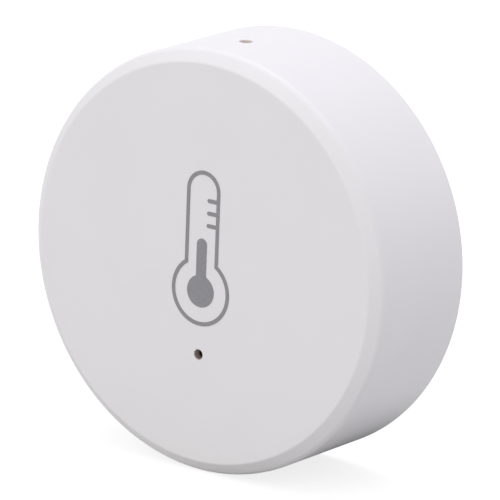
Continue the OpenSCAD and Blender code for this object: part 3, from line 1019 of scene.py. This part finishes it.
@dataclass
class FrontShell:
    """The cup with the chamfered front, its two pinholes and the printed thermometer."""

    chamfer_w: float = 1.8
    chamfer_deep: float = 1.45
    face_wall: float = 1.7
    groove_depth: float = 0.3
    face_edge: float = 0.2
    corner_blend: float = 0.67
    back_round: float = 0.2
    rebate_round: float = 0.12
    ledge_round: float = 0.1
    inner_round: float = 0.4
    light_hole_r: float = 0.725
    light_hole_drop: float = 12.9
    # Painted shade, warm brown, on the wall of the light hole
    light_hole_painted_shade: Colour = (0.50, 0.42, 0.38)
    # Painted black shade deep in the light hole, where its far end lies in shadow
    deep_painted_shade: Colour = (0.02, 0.02, 0.02)
    deep_painted_shade_depth: float = 17.9
    deep_painted_shade_r: float = 0.7384
    pinhole_r: float = 0.95
    pinhole_band: float = 2.4
    # Painted warm light on the wall of the pinhole
    pinhole_painted_light: Colour = (0.87, 0.79, 0.75)
    pinhole_painted_light_z: float = 28.9
    painted_skin: float = 0.015
    hole_lip: float = 0.02
    hole_over: float = 1.0
    hole_sides: int = 48
    post_r: float = 2.3
    shoulder_r: float = 3.5
    pilot_r: float = 0.85
    pilot_end: float = 12.15
    post_sink: float = 0.4
    post_sides: int = 40
    flange_front: float = 6.95
    board_front: float = 17.05
    key_half: float = 1.65
    rib_w: float = 1.0
    rib_h: float = 2.1
    rib_sink: float = 0.5
    rib_play: float = 0.05
    rib_edge: float = 0.08
    pry_w: float = 9.0
    pry_end: float = 1.9
    pry_over: float = 0.4
    pry_reach: float = 1.3
    pry_edge: float = 0.3
    crisp_deg: float = 40.0
    sides: int = 192

    @property
    def flat_r(self) -> float:
        """Radius of the flat front."""
        return FITS.body_r - self.chamfer_w

    @property
    def face_in(self) -> float:
        """Depth of the front wall's inner face."""
        return FITS.front - self.face_wall

    @property
    def bores(self) -> tuple[DustyBore, ...]:
        """The painted shade on the wall of the light hole, the painted black shade at its far end, and the
        painted warm light on the wall of the pinhole.

        Returns:
            The walls, in the order in which they are painted.
        """
        face_mid = (FITS.front + self.face_in) / 2
        painted_shade_r = self.light_hole_r + self.painted_skin
        return (
            DustyBore(self.light_hole_painted_shade, (0.0, -face_mid, -self.light_hole_drop), Axis.Y, painted_shade_r),
            DustyBore(self.deep_painted_shade, (0.0, -self.deep_painted_shade_depth, -self.light_hole_drop), Axis.Y,
                      self.deep_painted_shade_r),
            DustyBore(self.pinhole_painted_light, (0.0, -FITS.switch_depth, self.pinhole_painted_light_z), Axis.Z,
                      self.pinhole_r + self.painted_skin))

    def build(self) -> Piece:
        """Models the cup.

        Returns:
            The closed shell.
        """
        shell = self._turn_cup()
        for side in (-1, 1):
            for level in (-1, 1):
                work_in(shell, self._post(side, level), Join.FUSE)
            work_in(shell, self._key_rib(side), Join.FUSE)
        for cutter in (self._light_hole(), self._pinhole(), self._pry_notch()):
            work_in(shell, cutter, Join.CUT)
        close_seams(shell)
        smooth_piece(shell, self.crisp_deg)
        return shell

    def _turn_cup(self) -> Piece:
        """Turns the cup and rounds its rims.

        Returns:
            The cup without posts, ribs and holes.
        """
        body_r, bore_r, rebate_r = FITS.body_r, FITS.bore_r, FITS.rebate_r
        groove_r = bore_r + self.groove_depth
        corner = FITS.front - self.chamfer_deep
        pin, band = FITS.switch_depth, self.pinhole_band
        snap, half = FITS.snap_depth, FITS.snap_w / 2
        shell = turn_piece("moulded_shell", Axis.Y, [
            (self.flat_r, -FITS.front), (body_r, -corner), (body_r, -pin - band), (body_r, -pin + band),
            (body_r, -FITS.back), (rebate_r, -FITS.back), (rebate_r, -FITS.ledge), (bore_r, -FITS.ledge),
            (bore_r, -snap + 2 * half), (groove_r, -snap + half), (groove_r, -snap - half),
            (bore_r, -snap - 2 * half), (bore_r, -self.face_in)], self.sides)
        for radius, depth, width, segments in (
                (self.flat_r, FITS.front, self.face_edge, 3), (body_r, corner, self.corner_blend, 12),
                (body_r, FITS.back, self.back_round, 4), (rebate_r, FITS.back, self.rebate_round, 2),
                (bore_r, FITS.ledge, self.ledge_round, 2), (bore_r, self.face_in, self.inner_round, 3)):
            round_edges(shell, on_ring(Axis.Y, radius, -depth), width, segments)
        return shell

    def _post(self, side: int, level: int) -> Piece:
        """Turns one screw post with its shoulder and pilot hole.

        Args:
            side: -1 for the left and 1 for the right.
            level: -1 for the bottom and 1 for the top.

        Returns:
            The post.
        """
        return turn_piece("post", Axis.Y, [
            (self.pilot_r, -self.pilot_end), (self.pilot_r, -self.flange_front),
            (self.post_r, -self.flange_front), (self.post_r, -self.board_front),
            (self.shoulder_r, -self.board_front), (self.shoulder_r, -self.face_in - self.post_sink)],
            self.post_sides, Vector((side * FITS.post_x, 0.0, level * FITS.post_z)))

    def _key_rib(self, side: int) -> Piece:
        """Makes one of the two ribs that hold the cover's key.

        Args:
            side: -1 for the left and 1 for the right.

        Returns:
            The rib.
        """
        near, far = side * self.key_half, side * (self.key_half + self.rib_w)
        return block_piece(
            "rib", Vector((min(near, far), -FITS.key_end, FITS.bore_r - self.rib_h)),
            Vector((max(near, far), -FITS.ledge - self.rib_play, FITS.bore_r + self.rib_sink)), self.rib_edge)

    def _light_hole(self) -> Piece:
        """Makes the cutter of the indicator hole, flared at the face."""
        radius, flare = self.light_hole_r, self.light_hole_r + self.hole_lip
        return turn_piece("cutter", Axis.Y, [
            (radius, -self.face_in + self.hole_over), (radius, -FITS.front + self.hole_lip),
            (flare, -FITS.front), (flare, -FITS.front - self.hole_over)],
            self.hole_sides, Vector((0.0, 0.0, -self.light_hole_drop)))

    def _pinhole(self) -> Piece:
        """Makes the cutter of the reset pinhole, flared at the side."""
        radius, flare = self.pinhole_r, self.pinhole_r + self.hole_lip
        return turn_piece("cutter", Axis.Z, [
            (radius, FITS.bore_r - self.hole_over), (radius, FITS.body_r - self.hole_lip),
            (flare, FITS.body_r), (flare, FITS.body_r + self.hole_over)],
            self.hole_sides, Vector((0.0, -FITS.switch_depth, 0.0)))

    def _pry_notch(self) -> Piece:
        """Makes the cutter of the notch that a coin pries in."""
        half = self.pry_w / 2
        return block_piece("cutter", Vector((-half, -self.pry_end, -FITS.body_r - self.pry_reach)),
                           Vector((half, self.pry_over, -FITS.body_r + self.pry_reach)), self.pry_edge)

    def dress(self, shell: Piece, nodes: Nodes, palette: Palette) -> None:
        """Dresses the shell and its print.

        Args:
            shell: The shell from build.
            nodes: The CAD nodes.
            palette: The finishes.
        """
        place_piece(shell, Body.SENSOR, Slot.SHELL, palette.shell, "front_shell")
        dress_node(nodes, "icon_print", palette.ink)


@dataclass
class WallCover:
    """The plate that stays on the wall, with its snap tabs, key and tape."""

    play: float = 0.15
    inside: float = 2.4
    back_round: float = 0.2
    inner_round: float = 0.1
    tab_play: float = 0.25
    tab_t: float = 1.2
    tab_w: float = 8.0
    tab_end: float = 6.4
    tab_lead: float = 0.3
    tab_trim: float = 0.15
    tab_steps: int = 12
    tab_angles_deg: tuple[float, ...] = (62.0, 118.0, 242.0, 298.0)
    bead_h: float = 0.18
    key_w: float = 3.0
    key_h: float = 1.6
    rib_x: float = 11.125
    rib_w: float = 1.2
    rib_reach: float = 8.075
    rib_end: float = 3.2
    rib_edge: float = 0.12
    root_sink: float = 0.4
    tape_r: float = 20.0
    tape_skin: float = 0.1
    tape_waist: float = 0.05
    tape_slope: float = 0.02
    tape_round: float = 0.05
    tape_sides: int = 128
    crisp_deg: float = 40.0
    sides: int = 192

    @property
    def tab_r(self) -> float:
        """Outer radius of the tabs and the key."""
        return FITS.bore_r - self.tab_play

    @property
    def root(self) -> float:
        """Place along Y at which a tab, key or rib starts, sunk in the plate."""
        return self.root_sink - self.inside

    def build_plate(self) -> Piece:
        """Models the plate.

        Returns:
            The closed plate.
        """
        cover_r = FITS.rebate_r - self.play
        plate = turn_piece("wall_plate", Axis.Y, [(cover_r, -FITS.back), (cover_r, -self.inside)], self.sides)
        round_edges(plate, on_ring(Axis.Y, cover_r, -FITS.back), self.back_round, segments=4)
        round_edges(plate, on_ring(Axis.Y, cover_r, -self.inside), self.inner_round)
        tab = self._tab()
        for angle in self.tab_angles_deg:
            turned = Matrix.Rotation(-math.radians(angle), 4, "Y")
            work_in(plate, copy_piece(tab, "tab", turned), Join.FUSE)
        bpy.data.objects.remove(tab)
        for low, high in self._key_and_ribs():
            work_in(plate, block_piece("rib", low, high, self.rib_edge), Join.FUSE)
        close_seams(plate)
        smooth_piece(plate, self.crisp_deg)
        return plate

    def _key_and_ribs(self) -> list[tuple[Vector, Vector]]:
        """Works out the key and the two stiffening ribs.

        Returns:
            The lowest and the highest corner of each.
        """
        key_half, rib_half = self.key_w / 2, self.rib_w / 2
        low = Vector((-key_half, -FITS.key_end, self.tab_r - self.key_h))
        high = Vector((key_half, self.root, self.tab_r))
        corners = [(low, high)]
        for side in (-1, 1):
            low = Vector((side * self.rib_x - rib_half, -self.rib_end, -self.rib_reach))
            high = Vector((side * self.rib_x + rib_half, self.root, self.rib_reach))
            corners.append((low, high))
        return corners

    def _tab(self) -> Piece:
        """Spins the section of a snap tab through the tab's width, centred on +X.

        Returns:
            The closed tab.
        """
        outer, inner, half = self.tab_r, self.tab_r - self.tab_t, FITS.snap_w / 2
        section = [
            (inner, self.root), (outer, self.root), (outer, -FITS.snap_depth + half),
            (outer + self.bead_h, -FITS.snap_depth), (outer, -FITS.snap_depth - half),
            (outer, -self.tab_end + self.tab_lead), (outer - self.tab_lead, -self.tab_end),
            (inner + self.tab_trim, -self.tab_end), (inner, -self.tab_end + self.tab_trim)]
        deselect()
        bpy.ops.mesh.primitive_circle_add(vertices=len(section), radius=MM, fill_type="NGON")
        tab = name_piece(bpy.context.active_object, "tab")
        sweep = 2 * math.asin(self.tab_w / 2 / self.tab_r)
        start = Matrix.Rotation(-sweep / 2, 4, "Y")
        bpy.ops.object.mode_set(mode="EDIT")
        mesh = bmesh.from_edit_mesh(tab.data)
        for vertex, (radius, depth) in zip(mesh.verts, section):
            vertex.co = start @ Vector((radius * MM, depth * MM, 0.0))
        bmesh.update_edit_mesh(tab.data)
        bpy.ops.mesh.select_all(action="SELECT")
        bpy.ops.mesh.spin(steps=self.tab_steps, angle=sweep, center=(0.0, 0.0, 0.0), axis=(0.0, 1.0, 0.0))
        bpy.ops.object.mode_set(mode="OBJECT")
        close_seams(tab)
        return tab

    def build_tape(self) -> Piece:
        """Models the tape: a core between two thin adhesive skins.

        Returns:
            The closed disc.
        """
        core_r = self.tape_r - self.tape_waist
        core = self.tape_skin + self.tape_slope
        tape = turn_piece("mounting_tape", Axis.Y, [
            (self.tape_r, 0.0), (self.tape_r, -self.tape_skin), (core_r, -core), (core_r, -FITS.back + core),
            (self.tape_r, -FITS.back + self.tape_skin), (self.tape_r, -FITS.back)], self.tape_sides)
        round_edges(tape, on_ring(Axis.Y, self.tape_r, 0.0), self.tape_round)
        smooth_piece(tape)
        return tape

    def dress(self, plate: Piece, tape: Piece, palette: Palette) -> None:
        """Dresses the plate and the tape.

        Args:
            plate: The plate from build_plate.
            tape: The tape from build_tape.
            palette: The finishes.
        """
        place_piece(plate, Body.WALL_COVER, Slot.SHELL, palette.shell, "rear_cover")
        place_piece(tape, Body.WALL_COVER, Slot.TAPE, palette.tape, "adhesive_disc")


@dataclass
class BatteryBay:
    """The tub with its screws, two cells, contacts and springs."""

    cell_r: float = 5.15
    cell_l: float = 44.5
    cell_y: float = -8.9
    cell_z: float = 5.5
    cell_start: float = 20.625
    cell_sides: int = 72
    can_play: float = 0.025
    can_round: float = 0.35
    dish_in: float = 2.9
    dish_slope: float = 0.3
    dish_deep: float = 0.28
    dish_rim: float = 0.85
    crimp_w: float = 0.7
    crimp_slope: float = 0.3
    crimp_deep: float = 0.12
    crimp_round: float = 0.3
    nub_r: float = 1.9
    nub_h: float = 1.0
    nub_foot: float = 0.5
    nub_rise: float = 0.1
    nub_round: float = 0.25
    can_crisp_deg: float = 40.0
    sleeve_t: float = 0.1
    sleeve_bare: float = 0.4
    shrink: float = 0.04
    shrink_l: float = 0.12
    sleeve_crisp_deg: float = 50.0
    head_r: float = 1.9
    head_h: float = 1.2
    crown_share: float = 0.55
    brow_share: float = 0.86
    brow_drop: float = 0.18
    head_drop: float = 0.55
    recess_l: float = 2.36
    recess_w: float = 0.55
    recess_deep: float = 0.6
    recess_over: float = 1.0
    core_r: float = 0.825
    core_l: float = 6.0
    tip_l: float = 0.5
    tip_share: float = 0.5
    screw_sides: int = 48
    screw_crisp_deg: float = 40.0
    screw_turn_deg: float = 17.0
    screw_step_deg: float = 31.0
    flange_y: float = -5.55
    sheet_x: float = 23.925
    sheet_edge: float = 0.07
    tub_edge: float = 0.15
    wire_r: float = 0.25
    wire_sides: int = 12
    spring_l: float = 3.3
    spring_wide_r: float = 3.6
    spring_narrow_r: float = 2.2
    spring_turns: float = 3.0
    spring_seat_turns: float = 0.75
    spring_top_turns: float = 0.5
    spring_ease: float = 0.35
    spring_crisp_deg: float = 60.0
    steps_per_turn: int = 28

    def build_can(self, way: int) -> Piece:
        """Turns one cell can: a dished flat end, the side and the nub.

        Args:
            way: 1 for the upper cell, whose nub points to +X, and -1 for the lower one.

        Returns:
            The closed can.
        """
        can_r = self.cell_r - self.sleeve_t - self.can_play
        rim_r, crimp_r = can_r - self.dish_rim, can_r - self.crimp_w
        end = self.cell_l - self.nub_h
        sunk = end - self.crimp_deep
        rings = [
            (self.dish_in, 0.0), (self.dish_in + self.dish_slope, self.dish_deep),
            (rim_r - self.dish_slope, self.dish_deep), (rim_r, 0.0), (can_r, 0.0), (can_r, end),
            (crimp_r, end), (crimp_r - self.crimp_slope, sunk), (self.nub_r + self.nub_foot, sunk),
            (self.nub_r, end + self.nub_rise), (self.nub_r, self.cell_l)]
        can = self._turn_cell("upper_can" if way > 0 else "lower_can", way, rings)
        rims = ((can_r, 0.0, self.can_round), (can_r, end, self.crimp_round),
                (self.nub_r, self.cell_l, self.nub_round))
        for radius, along, width in rims:
            ring = on_ring(Axis.X, radius, way * (along - self.cell_start), self._cell_centre(way))
            round_edges(can, ring, width, segments=3)
        smooth_piece(can, self.can_crisp_deg)
        return can

    def build_sleeve(self, way: int) -> Piece:
        """Turns the film on one cell, with shrunken ends.

        Args:
            way: 1 for the upper cell and -1 for the lower one.

        Returns:
            The closed sleeve.
        """
        low, high = self.sleeve_bare, self.cell_l - self.nub_h - self.sleeve_bare
        inner, drawn_in = self.cell_r - self.sleeve_t, self.cell_r - self.shrink
        rings = [(inner, low), (drawn_in, low), (self.cell_r, low + self.shrink_l),
                 (self.cell_r, high - self.shrink_l), (drawn_in, high), (inner, high), (inner, low)]
        sleeve = self._turn_cell("upper_sleeve" if way > 0 else "lower_sleeve", way, rings, Ends.JOINED)
        smooth_piece(sleeve, self.sleeve_crisp_deg)
        return sleeve

    def _cell_centre(self, way: int) -> Vector:
        """Gives a point on a cell's axis."""
        return Vector((0.0, self.cell_y, way * self.cell_z))

    def _turn_cell(self, name: str, way: int, rings: Sequence[Ring], ends: Ends = Ends.CAPPED) -> Piece:
        """Turns a piece on a cell's axis.

        Args:
            name: Name of the piece.
            way: 1 for the upper cell and -1 for the lower one.
            rings: Radius and distance from the cell's flat end of each ring.
            ends: How its first and last ring are closed.

        Returns:
            The closed piece.
        """
        placed = [(radius, way * (along - self.cell_start)) for radius, along in rings]
        return turn_piece(name, Axis.X, placed, self.cell_sides, self._cell_centre(way), ends)

    def build_screws(self) -> Piece:
        """Models one pan-head screw and sets four of them, each turned a little further.

        Returns:
            The four screws as one piece.
        """
        first = self._screw()
        spots = [(x, z) for x in (-FITS.post_x, FITS.post_x) for z in (-FITS.post_z, FITS.post_z)]
        copies = []
        for number, (x, z) in enumerate(spots):
            angle = math.radians(self.screw_turn_deg + self.screw_step_deg * number)
            place = Matrix.Translation((x * MM, 0.0, z * MM)) @ Matrix.Rotation(angle, 4, "Y")
            copies.append(copy_piece(first, f"screw_{number}", place))
        bpy.data.objects.remove(first)
        pick(copies[0])
        for copy in copies[1:]:
            copy.select_set(True)
        bpy.ops.object.join()
        return name_piece(copies[0], "tub_screw_set")

    def _screw(self) -> Piece:
        """Turns a screw on the Y axis and cuts its cross recess.

        Returns:
            The closed screw.
        """
        top, tip = self.flange_y + self.head_h, self.flange_y - self.core_l
        screw = turn_piece("tub_screw", Axis.Y, [
            (self.head_r * self.crown_share, top), (self.head_r * self.brow_share, top - self.brow_drop),
            (self.head_r, top - self.head_drop), (self.head_r, self.flange_y), (self.core_r, self.flange_y),
            (self.core_r, tip + self.tip_l), (self.core_r * self.tip_share, tip)], self.screw_sides)
        for size_x, size_z in ((self.recess_l, self.recess_w), (self.recess_w, self.recess_l)):
            low = Vector((-size_x / 2, top - self.recess_deep, -size_z / 2))
            high = Vector((size_x / 2, top + self.recess_over, size_z / 2))
            work_in(screw, block_piece("cutter", low, high), Join.CUT)
        smooth_piece(screw, self.screw_crisp_deg)
        return screw

    def _wire_at(self, share: float) -> tuple[float, float]:
        """Gives the place along the axis and the radius of a spring's wire at a share of its length.

        The wire's start lies flat on the sheet and its end lies flat on the cell.

        Args:
            share: How far along the wire, from 0 to 1.

        Returns:
            The distance from the sheet and the radius.
        """
        low, high = self.wire_r, self.spring_l - self.wire_r
        start = self.spring_seat_turns / self.spring_turns
        end = 1.0 - self.spring_top_turns / self.spring_turns
        climb = min(max((share - start) / (end - start), 0.0), 1.0)
        smooth = climb * climb * (3.0 - 2.0 * climb)
        rise = smooth * self.spring_ease + climb * (1.0 - self.spring_ease)
        return (low + (high - low) * rise,
                self.spring_wide_r + (self.spring_narrow_r - self.spring_wide_r) * climb)

    def build_spring(self) -> Piece:
        """Winds the upper cell's spring: a wire's section is extruded round the cell's axis, step by step.

        Returns:
            The closed spring.
        """
        steps = round(self.spring_turns * self.steps_per_turn)
        turn = 2 * math.pi / self.steps_per_turn
        axis_point = Vector((-self.sheet_x, self.cell_y, self.cell_z))
        place, radius = self._wire_at(0.0)
        deselect()
        bpy.ops.mesh.primitive_circle_add(
            vertices=self.wire_sides, radius=self.wire_r * MM, fill_type="NGON",
            location=(axis_point + Vector((place, 0.0, radius))) * MM, rotation=Axis.Y.turn)
        spring = name_piece(bpy.context.active_object, "upper_spring")
        apply_place(spring)
        bpy.ops.object.mode_set(mode="EDIT")
        bpy.ops.mesh.select_mode(type="FACE")
        bpy.ops.mesh.select_all(action="SELECT")
        for step in range(1, steps + 1):
            next_place, next_radius = self._wire_at(step / steps)
            angle = turn * step
            along = ((next_place - place) * MM, 0.0, 0.0)
            bpy.ops.mesh.extrude_region_move(TRANSFORM_OT_translate={"value": along})
            bpy.ops.transform.rotate(value=turn, orient_axis="X", center_override=axis_point * MM)
            inward = (next_radius - radius) * MM
            bpy.ops.transform.translate(value=(0.0, inward * math.sin(angle), inward * math.cos(angle)))
            place, radius = next_place, next_radius
        bpy.ops.object.mode_set(mode="OBJECT")
        close_seams(spring)
        smooth_piece(spring, self.spring_crisp_deg)
        return spring

    def build(self, nodes: Nodes, palette: Palette) -> None:
        """Builds and dresses every piece of the bay.

        Args:
            nodes: The CAD nodes.
            palette: The finishes.
        """
        tub = soften_node(nodes["battery_tub"], "cell_tub", self.tub_edge)
        place_piece(tub, Body.SENSOR, Slot.TUB, palette.tub, "battery_tub")
        place_piece(self.build_screws(), Body.SENSOR, Slot.SCREW, palette.zinc, "tub_screws")
        for way, side, film in ((1, "upper", palette.sleeve_upper), (-1, "lower", palette.sleeve_lower)):
            place_piece(self.build_can(way), Body.SENSOR, Slot.CELL, palette.can, f"cell_can_{side}")
            place_piece(self.build_sleeve(way), Body.SENSOR, Slot.FILM, film, f"cell_sleeve_{side}")
        for part in ("positive", "negative", "bridge"):
            sheet = soften_node(nodes[f"{part}_contact"], f"{part}_sheet", self.sheet_edge)
            place_piece(sheet, Body.SENSOR, Slot.CONTACT, palette.nickel, f"{part}_contact")
        spring = self.build_spring()
        middle = Matrix.Translation((0.0, self.cell_y * MM, 0.0))
        half_turn = middle @ Matrix.Rotation(math.pi, 4, "Y") @ middle.inverted()
        lower = copy_piece(spring, "lower_spring", half_turn)
        place_piece(spring, Body.SENSOR, Slot.CONTACT, palette.nickel, "bridge_spring")
        place_piece(lower, Body.SENSOR, Slot.CONTACT, palette.nickel, "negative_spring")


@dataclass
class Electronics:
    """The boards, chips and reset switch between the tub and the front."""

    dome_depth: float = FITS.switch_depth
    dome_seat: float = 21.694
    dome_rim: float = 1.7
    dome_crown: float = 0.4
    dome_t: float = 0.12
    dome_eye: float = 0.15
    dome_pressed: float = 0.6
    dome_steps: int = 7
    dome_sides: int = 40

    def build_dome(self) -> Piece:
        """Turns the snap dome of the reset switch, a shallow spherical cap.

        Returns:
            The closed dome.
        """
        ball = (self.dome_rim ** 2 + self.dome_crown ** 2) / (2 * self.dome_crown)
        middle = self.dome_seat + self.dome_crown - ball
        hollow = ball - self.dome_t
        foot = math.sqrt(hollow ** 2 - (self.dome_seat - middle) ** 2)

        def arc(radius: float, rim: float) -> list[Ring]:
            """Gives the rings of one spherical face, from its eye to its rim."""
            outs = [self.dome_eye + (rim - self.dome_eye) * step / self.dome_steps
                    for step in range(self.dome_steps + 1)]
            return [(out, middle + math.sqrt(radius ** 2 - out ** 2)) for out in outs]

        rings = arc(hollow, foot) + arc(ball, self.dome_rim)[::-1]
        dome = turn_piece("snap_dome", Axis.Z, rings, self.dome_sides, Vector((0.0, -self.dome_depth, 0.0)))
        smooth_piece(dome)
        return dome

    def dress(self, nodes: Nodes, palette: Palette) -> None:
        """Dresses the CAD nodes that stay and sets the dome.

        Args:
            nodes: The CAD nodes.
            palette: The finishes.
        """
        dome = self.build_dome()
        place_piece(dome, Body.SENSOR, Slot.COPPER, palette.copper, "reset_dome")
        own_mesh(dome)
        finishes = {
            "circuit_board": palette.laminate, "radio_board": palette.laminate, "radio_shield": palette.tin,
            "antenna_trace": palette.copper, "humidity_chip": palette.resin, "indicator_led": palette.lens,
            "reset_switch_base": palette.resin, "reset_switch_frame": palette.tin,
            "reset_plunger": palette.resin, "chip_capacitors": palette.ceramic,
            "chip_resistors": palette.resin, "regulator_chip": palette.resin, "crystal_can": palette.tin,
            "bulk_capacitor": palette.tin,
        }
        for name, finish in finishes.items():
            dress_node(nodes, name, finish)


# Studio


@dataclass(frozen=True)
class Softbox:
    """A rectangular area lamp that points at the sensor."""

    name: str
    place_m: tuple[float, float, float]
    size_m: tuple[float, float]
    power: float
    colour: Colour
    aim_m: tuple[float, float, float] = (0.0, -0.01, 0.0)

    def build(self) -> None:
        """Adds the lamp."""
        lamp = bpy.data.lights.new(self.name, "AREA")
        lamp.shape = "RECTANGLE"
        lamp.size, lamp.size_y = self.size_m
        lamp.energy = self.power
        lamp.color = self.colour
        holder = bpy.data.objects.new(self.name, lamp)
        bpy.context.scene.collection.objects.link(holder)
        place = Vector(self.place_m)
        turn = (Vector(self.aim_m) - place).to_track_quat("-Z", "Y")
        holder.matrix_world = Matrix.Translation(place) @ turn.to_matrix().to_4x4()


@dataclass
class Studio:
    """The white floor, the soft lamps and the camera."""

    azimuth_deg: float = 36.2536
    elevation_deg: float = 15.1989
    roll_deg: float = 2.0964
    distance: float = 806.884
    target: tuple[float, float, float] = (1.7631, -11.8, 0.6411)
    lens: float = 420.4789
    film_w: float = 36.0
    white: Colour = (1.0, 1.0, 1.0)
    sky: float = 0.691
    sky_colour: Colour = (1.0, 0.995, 1.0)
    floor_w_m: float = 24.0
    floor_bounce: float = 0.475
    floor_glow: float = 0.80
    floor_catch: float = 0.30
    # A painted shadow on the floor under the sensor, dimming the light the floor gives back and its
    # reflections
    shade_centre: tuple[float, float] = (7.7, -1.7)
    shade_squeeze: float = 1.1
    shade_reach: tuple[float, float] = (6.5, 25.5)
    lamps: tuple[Softbox, ...] = (
        Softbox("strip_box", (0.0, 0.28, 0.90), (1.0, 0.35), 2.89, (0.865, 0.862, 1.0)),
        Softbox("front_box", (-0.55, -1.10, 0.35), (0.9, 0.9), 3.16, (1.0, 0.99, 0.97)),
        Softbox("low_box", (0.55, -1.10, 0.05), (0.5, 0.5), 1.49, (1.0, 0.934, 0.846)),
        Softbox("side_box", (1.07, 0.0, 0.25), (0.5, 0.14), 0.55, (0.94, 0.88, 1.0)),
        Softbox("over_box", (0.05, -0.5, 0.90), (0.8, 0.6), 1.28, (0.98, 0.957, 1.0)),
        Softbox("back_box", (0.0, 1.20, 0.10), (0.6, 0.2), 1.3, (1.0, 0.97, 0.92)),
    )

    def build(self) -> None:
        """Sets up the whole studio."""
        bpy.context.scene.view_settings.view_transform = "Standard"
        self._camera()
        self._world()
        self._floor()
        for lamp in self.lamps:
            lamp.build()

    def _camera(self) -> None:
        """Places the camera at the photograph's viewing angle."""
        azimuth, elevation = math.radians(self.azimuth_deg), math.radians(self.elevation_deg)
        roll = math.radians(self.roll_deg)
        level = math.cos(elevation)
        back = Vector((math.sin(azimuth) * level, -math.cos(azimuth) * level, math.sin(elevation)))
        side = (-back).cross(Axis.Z.along).normalized()
        rise = back.cross(side)
        right = side * math.cos(roll) + rise * math.sin(roll)
        up = rise * math.cos(roll) - side * math.sin(roll)
        eye = (Vector(self.target) + back * self.distance) * MM
        optics = bpy.data.cameras.new("camera")
        optics.sensor_fit = "HORIZONTAL"
        optics.sensor_width = self.film_w
        optics.lens = self.lens
        camera = bpy.data.objects.new("camera", optics)
        bpy.context.scene.collection.objects.link(camera)
        turn = Matrix((right, up, back)).transposed()
        camera.matrix_world = Matrix.Translation(eye) @ turn.to_4x4()
        bpy.context.scene.camera = camera

    @staticmethod
    def _seen(desk: Desk) -> Socket:
        """Adds a mask that is 1 for camera, mirror and glass rays.

        Args:
            desk: Desk of the floor's material or the world.

        Returns:
            The mask.
        """
        path = desk.add("ShaderNodeLightPath").outputs
        either = desk.value("MAXIMUM", path["Is Camera Ray"], path["Is Glossy Ray"])
        return desk.value("MAXIMUM", either, path["Is Transmission Ray"])

    def _world(self) -> None:
        """Makes the backdrop white to the camera and a soft pale light to the sensor."""
        world = bpy.data.worlds.new("studio")
        bpy.context.scene.world = world
        world.use_nodes = True
        desk = Desk(world.node_tree)
        soft = desk.add("ShaderNodeBackground", {"Color": rgba(self.sky_colour), "Strength": self.sky})
        white = desk.add("ShaderNodeBackground", {"Color": rgba(self.white), "Strength": 1.0})
        mix = desk.add("ShaderNodeMixShader", {0: self._seen(desk), 1: soft.outputs[0], 2: white.outputs[0]})
        desk.add("ShaderNodeOutputWorld", {"Surface": mix.outputs[0]})

    def _shade(self, desk: Desk) -> Socket:
        """Adds the mask of a painted shadow on the floor, which rises from 0 in an oval under the sensor to 1
        on the open floor.

        Args:
            desk: Desk of the floor's material.

        Returns:
            The mask.
        """
        near, far = self.shade_reach
        centre = Vector((*self.shade_centre, -FITS.body_r)) * MM
        arm = desk.vector("SUBTRACT", desk.object_place(), centre)
        oval = desk.vector("MULTIPLY", arm, (1.0, self.shade_squeeze, 1.0))
        return desk.spread(desk.length(oval), (near * MM, far * MM), interpolation_type="SMOOTHSTEP")

    def _floor(self) -> None:
        """Lays a wide white floor that catches the shadow, with a painted shadow under the sensor in the
        light it gives back and in its reflections; the camera sees it white.
        """
        deselect()
        bpy.ops.mesh.primitive_plane_add(size=self.floor_w_m, location=(0.0, 0.0, -FITS.body_r * MM))
        floor = name_piece(bpy.context.active_object, "studio_floor")
        apply_place(floor)
        material, desk = start_material("floor_paper")
        shade = self._shade(desk)
        shown = desk.value("MAXIMUM", shade, desk.add("ShaderNodeLightPath").outputs["Is Camera Ray"])
        level = desk.value("MULTIPLY", shown, self.floor_glow)
        glow = desk.add("ShaderNodeEmission", {"Color": rgba(self.white), "Strength": level})
        catch = desk.add("ShaderNodeBsdfDiffuse", {"Color": rgba((self.floor_catch,) * 3)})
        lit = desk.add("ShaderNodeAddShader", {0: catch.outputs[0], 1: glow.outputs[0]})
        given_back = desk.value("MULTIPLY", shade, self.floor_bounce)
        bounce = desk.add("ShaderNodeBsdfDiffuse", {"Color": given_back})
        mix = desk.add("ShaderNodeMixShader", {0: self._seen(desk), 1: bounce.outputs[0], 2: lit.outputs[0]})
        desk.add("ShaderNodeOutputMaterial", {"Surface": mix.outputs[0]})
        paint(floor, material)


def main() -> None:
    """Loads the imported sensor, makes the finishes, sets up the studio and builds each sub-assembly."""
    logging.basicConfig(level=logging.INFO, format="%(name)s: %(message)s")
    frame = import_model()
    nodes: Nodes = frame["nodes"]
    shell = FrontShell()
    palette = Palette.make(shell.bores)

    Studio().build()
    shell.dress(shell.build(), nodes, palette)
    cover = WallCover()
    cover.dress(cover.build_plate(), cover.build_tape(), palette)
    BatteryBay().build(nodes, palette)
    Electronics().dress(nodes, palette)

    deselect()


if __name__ == "__main__":
    main()
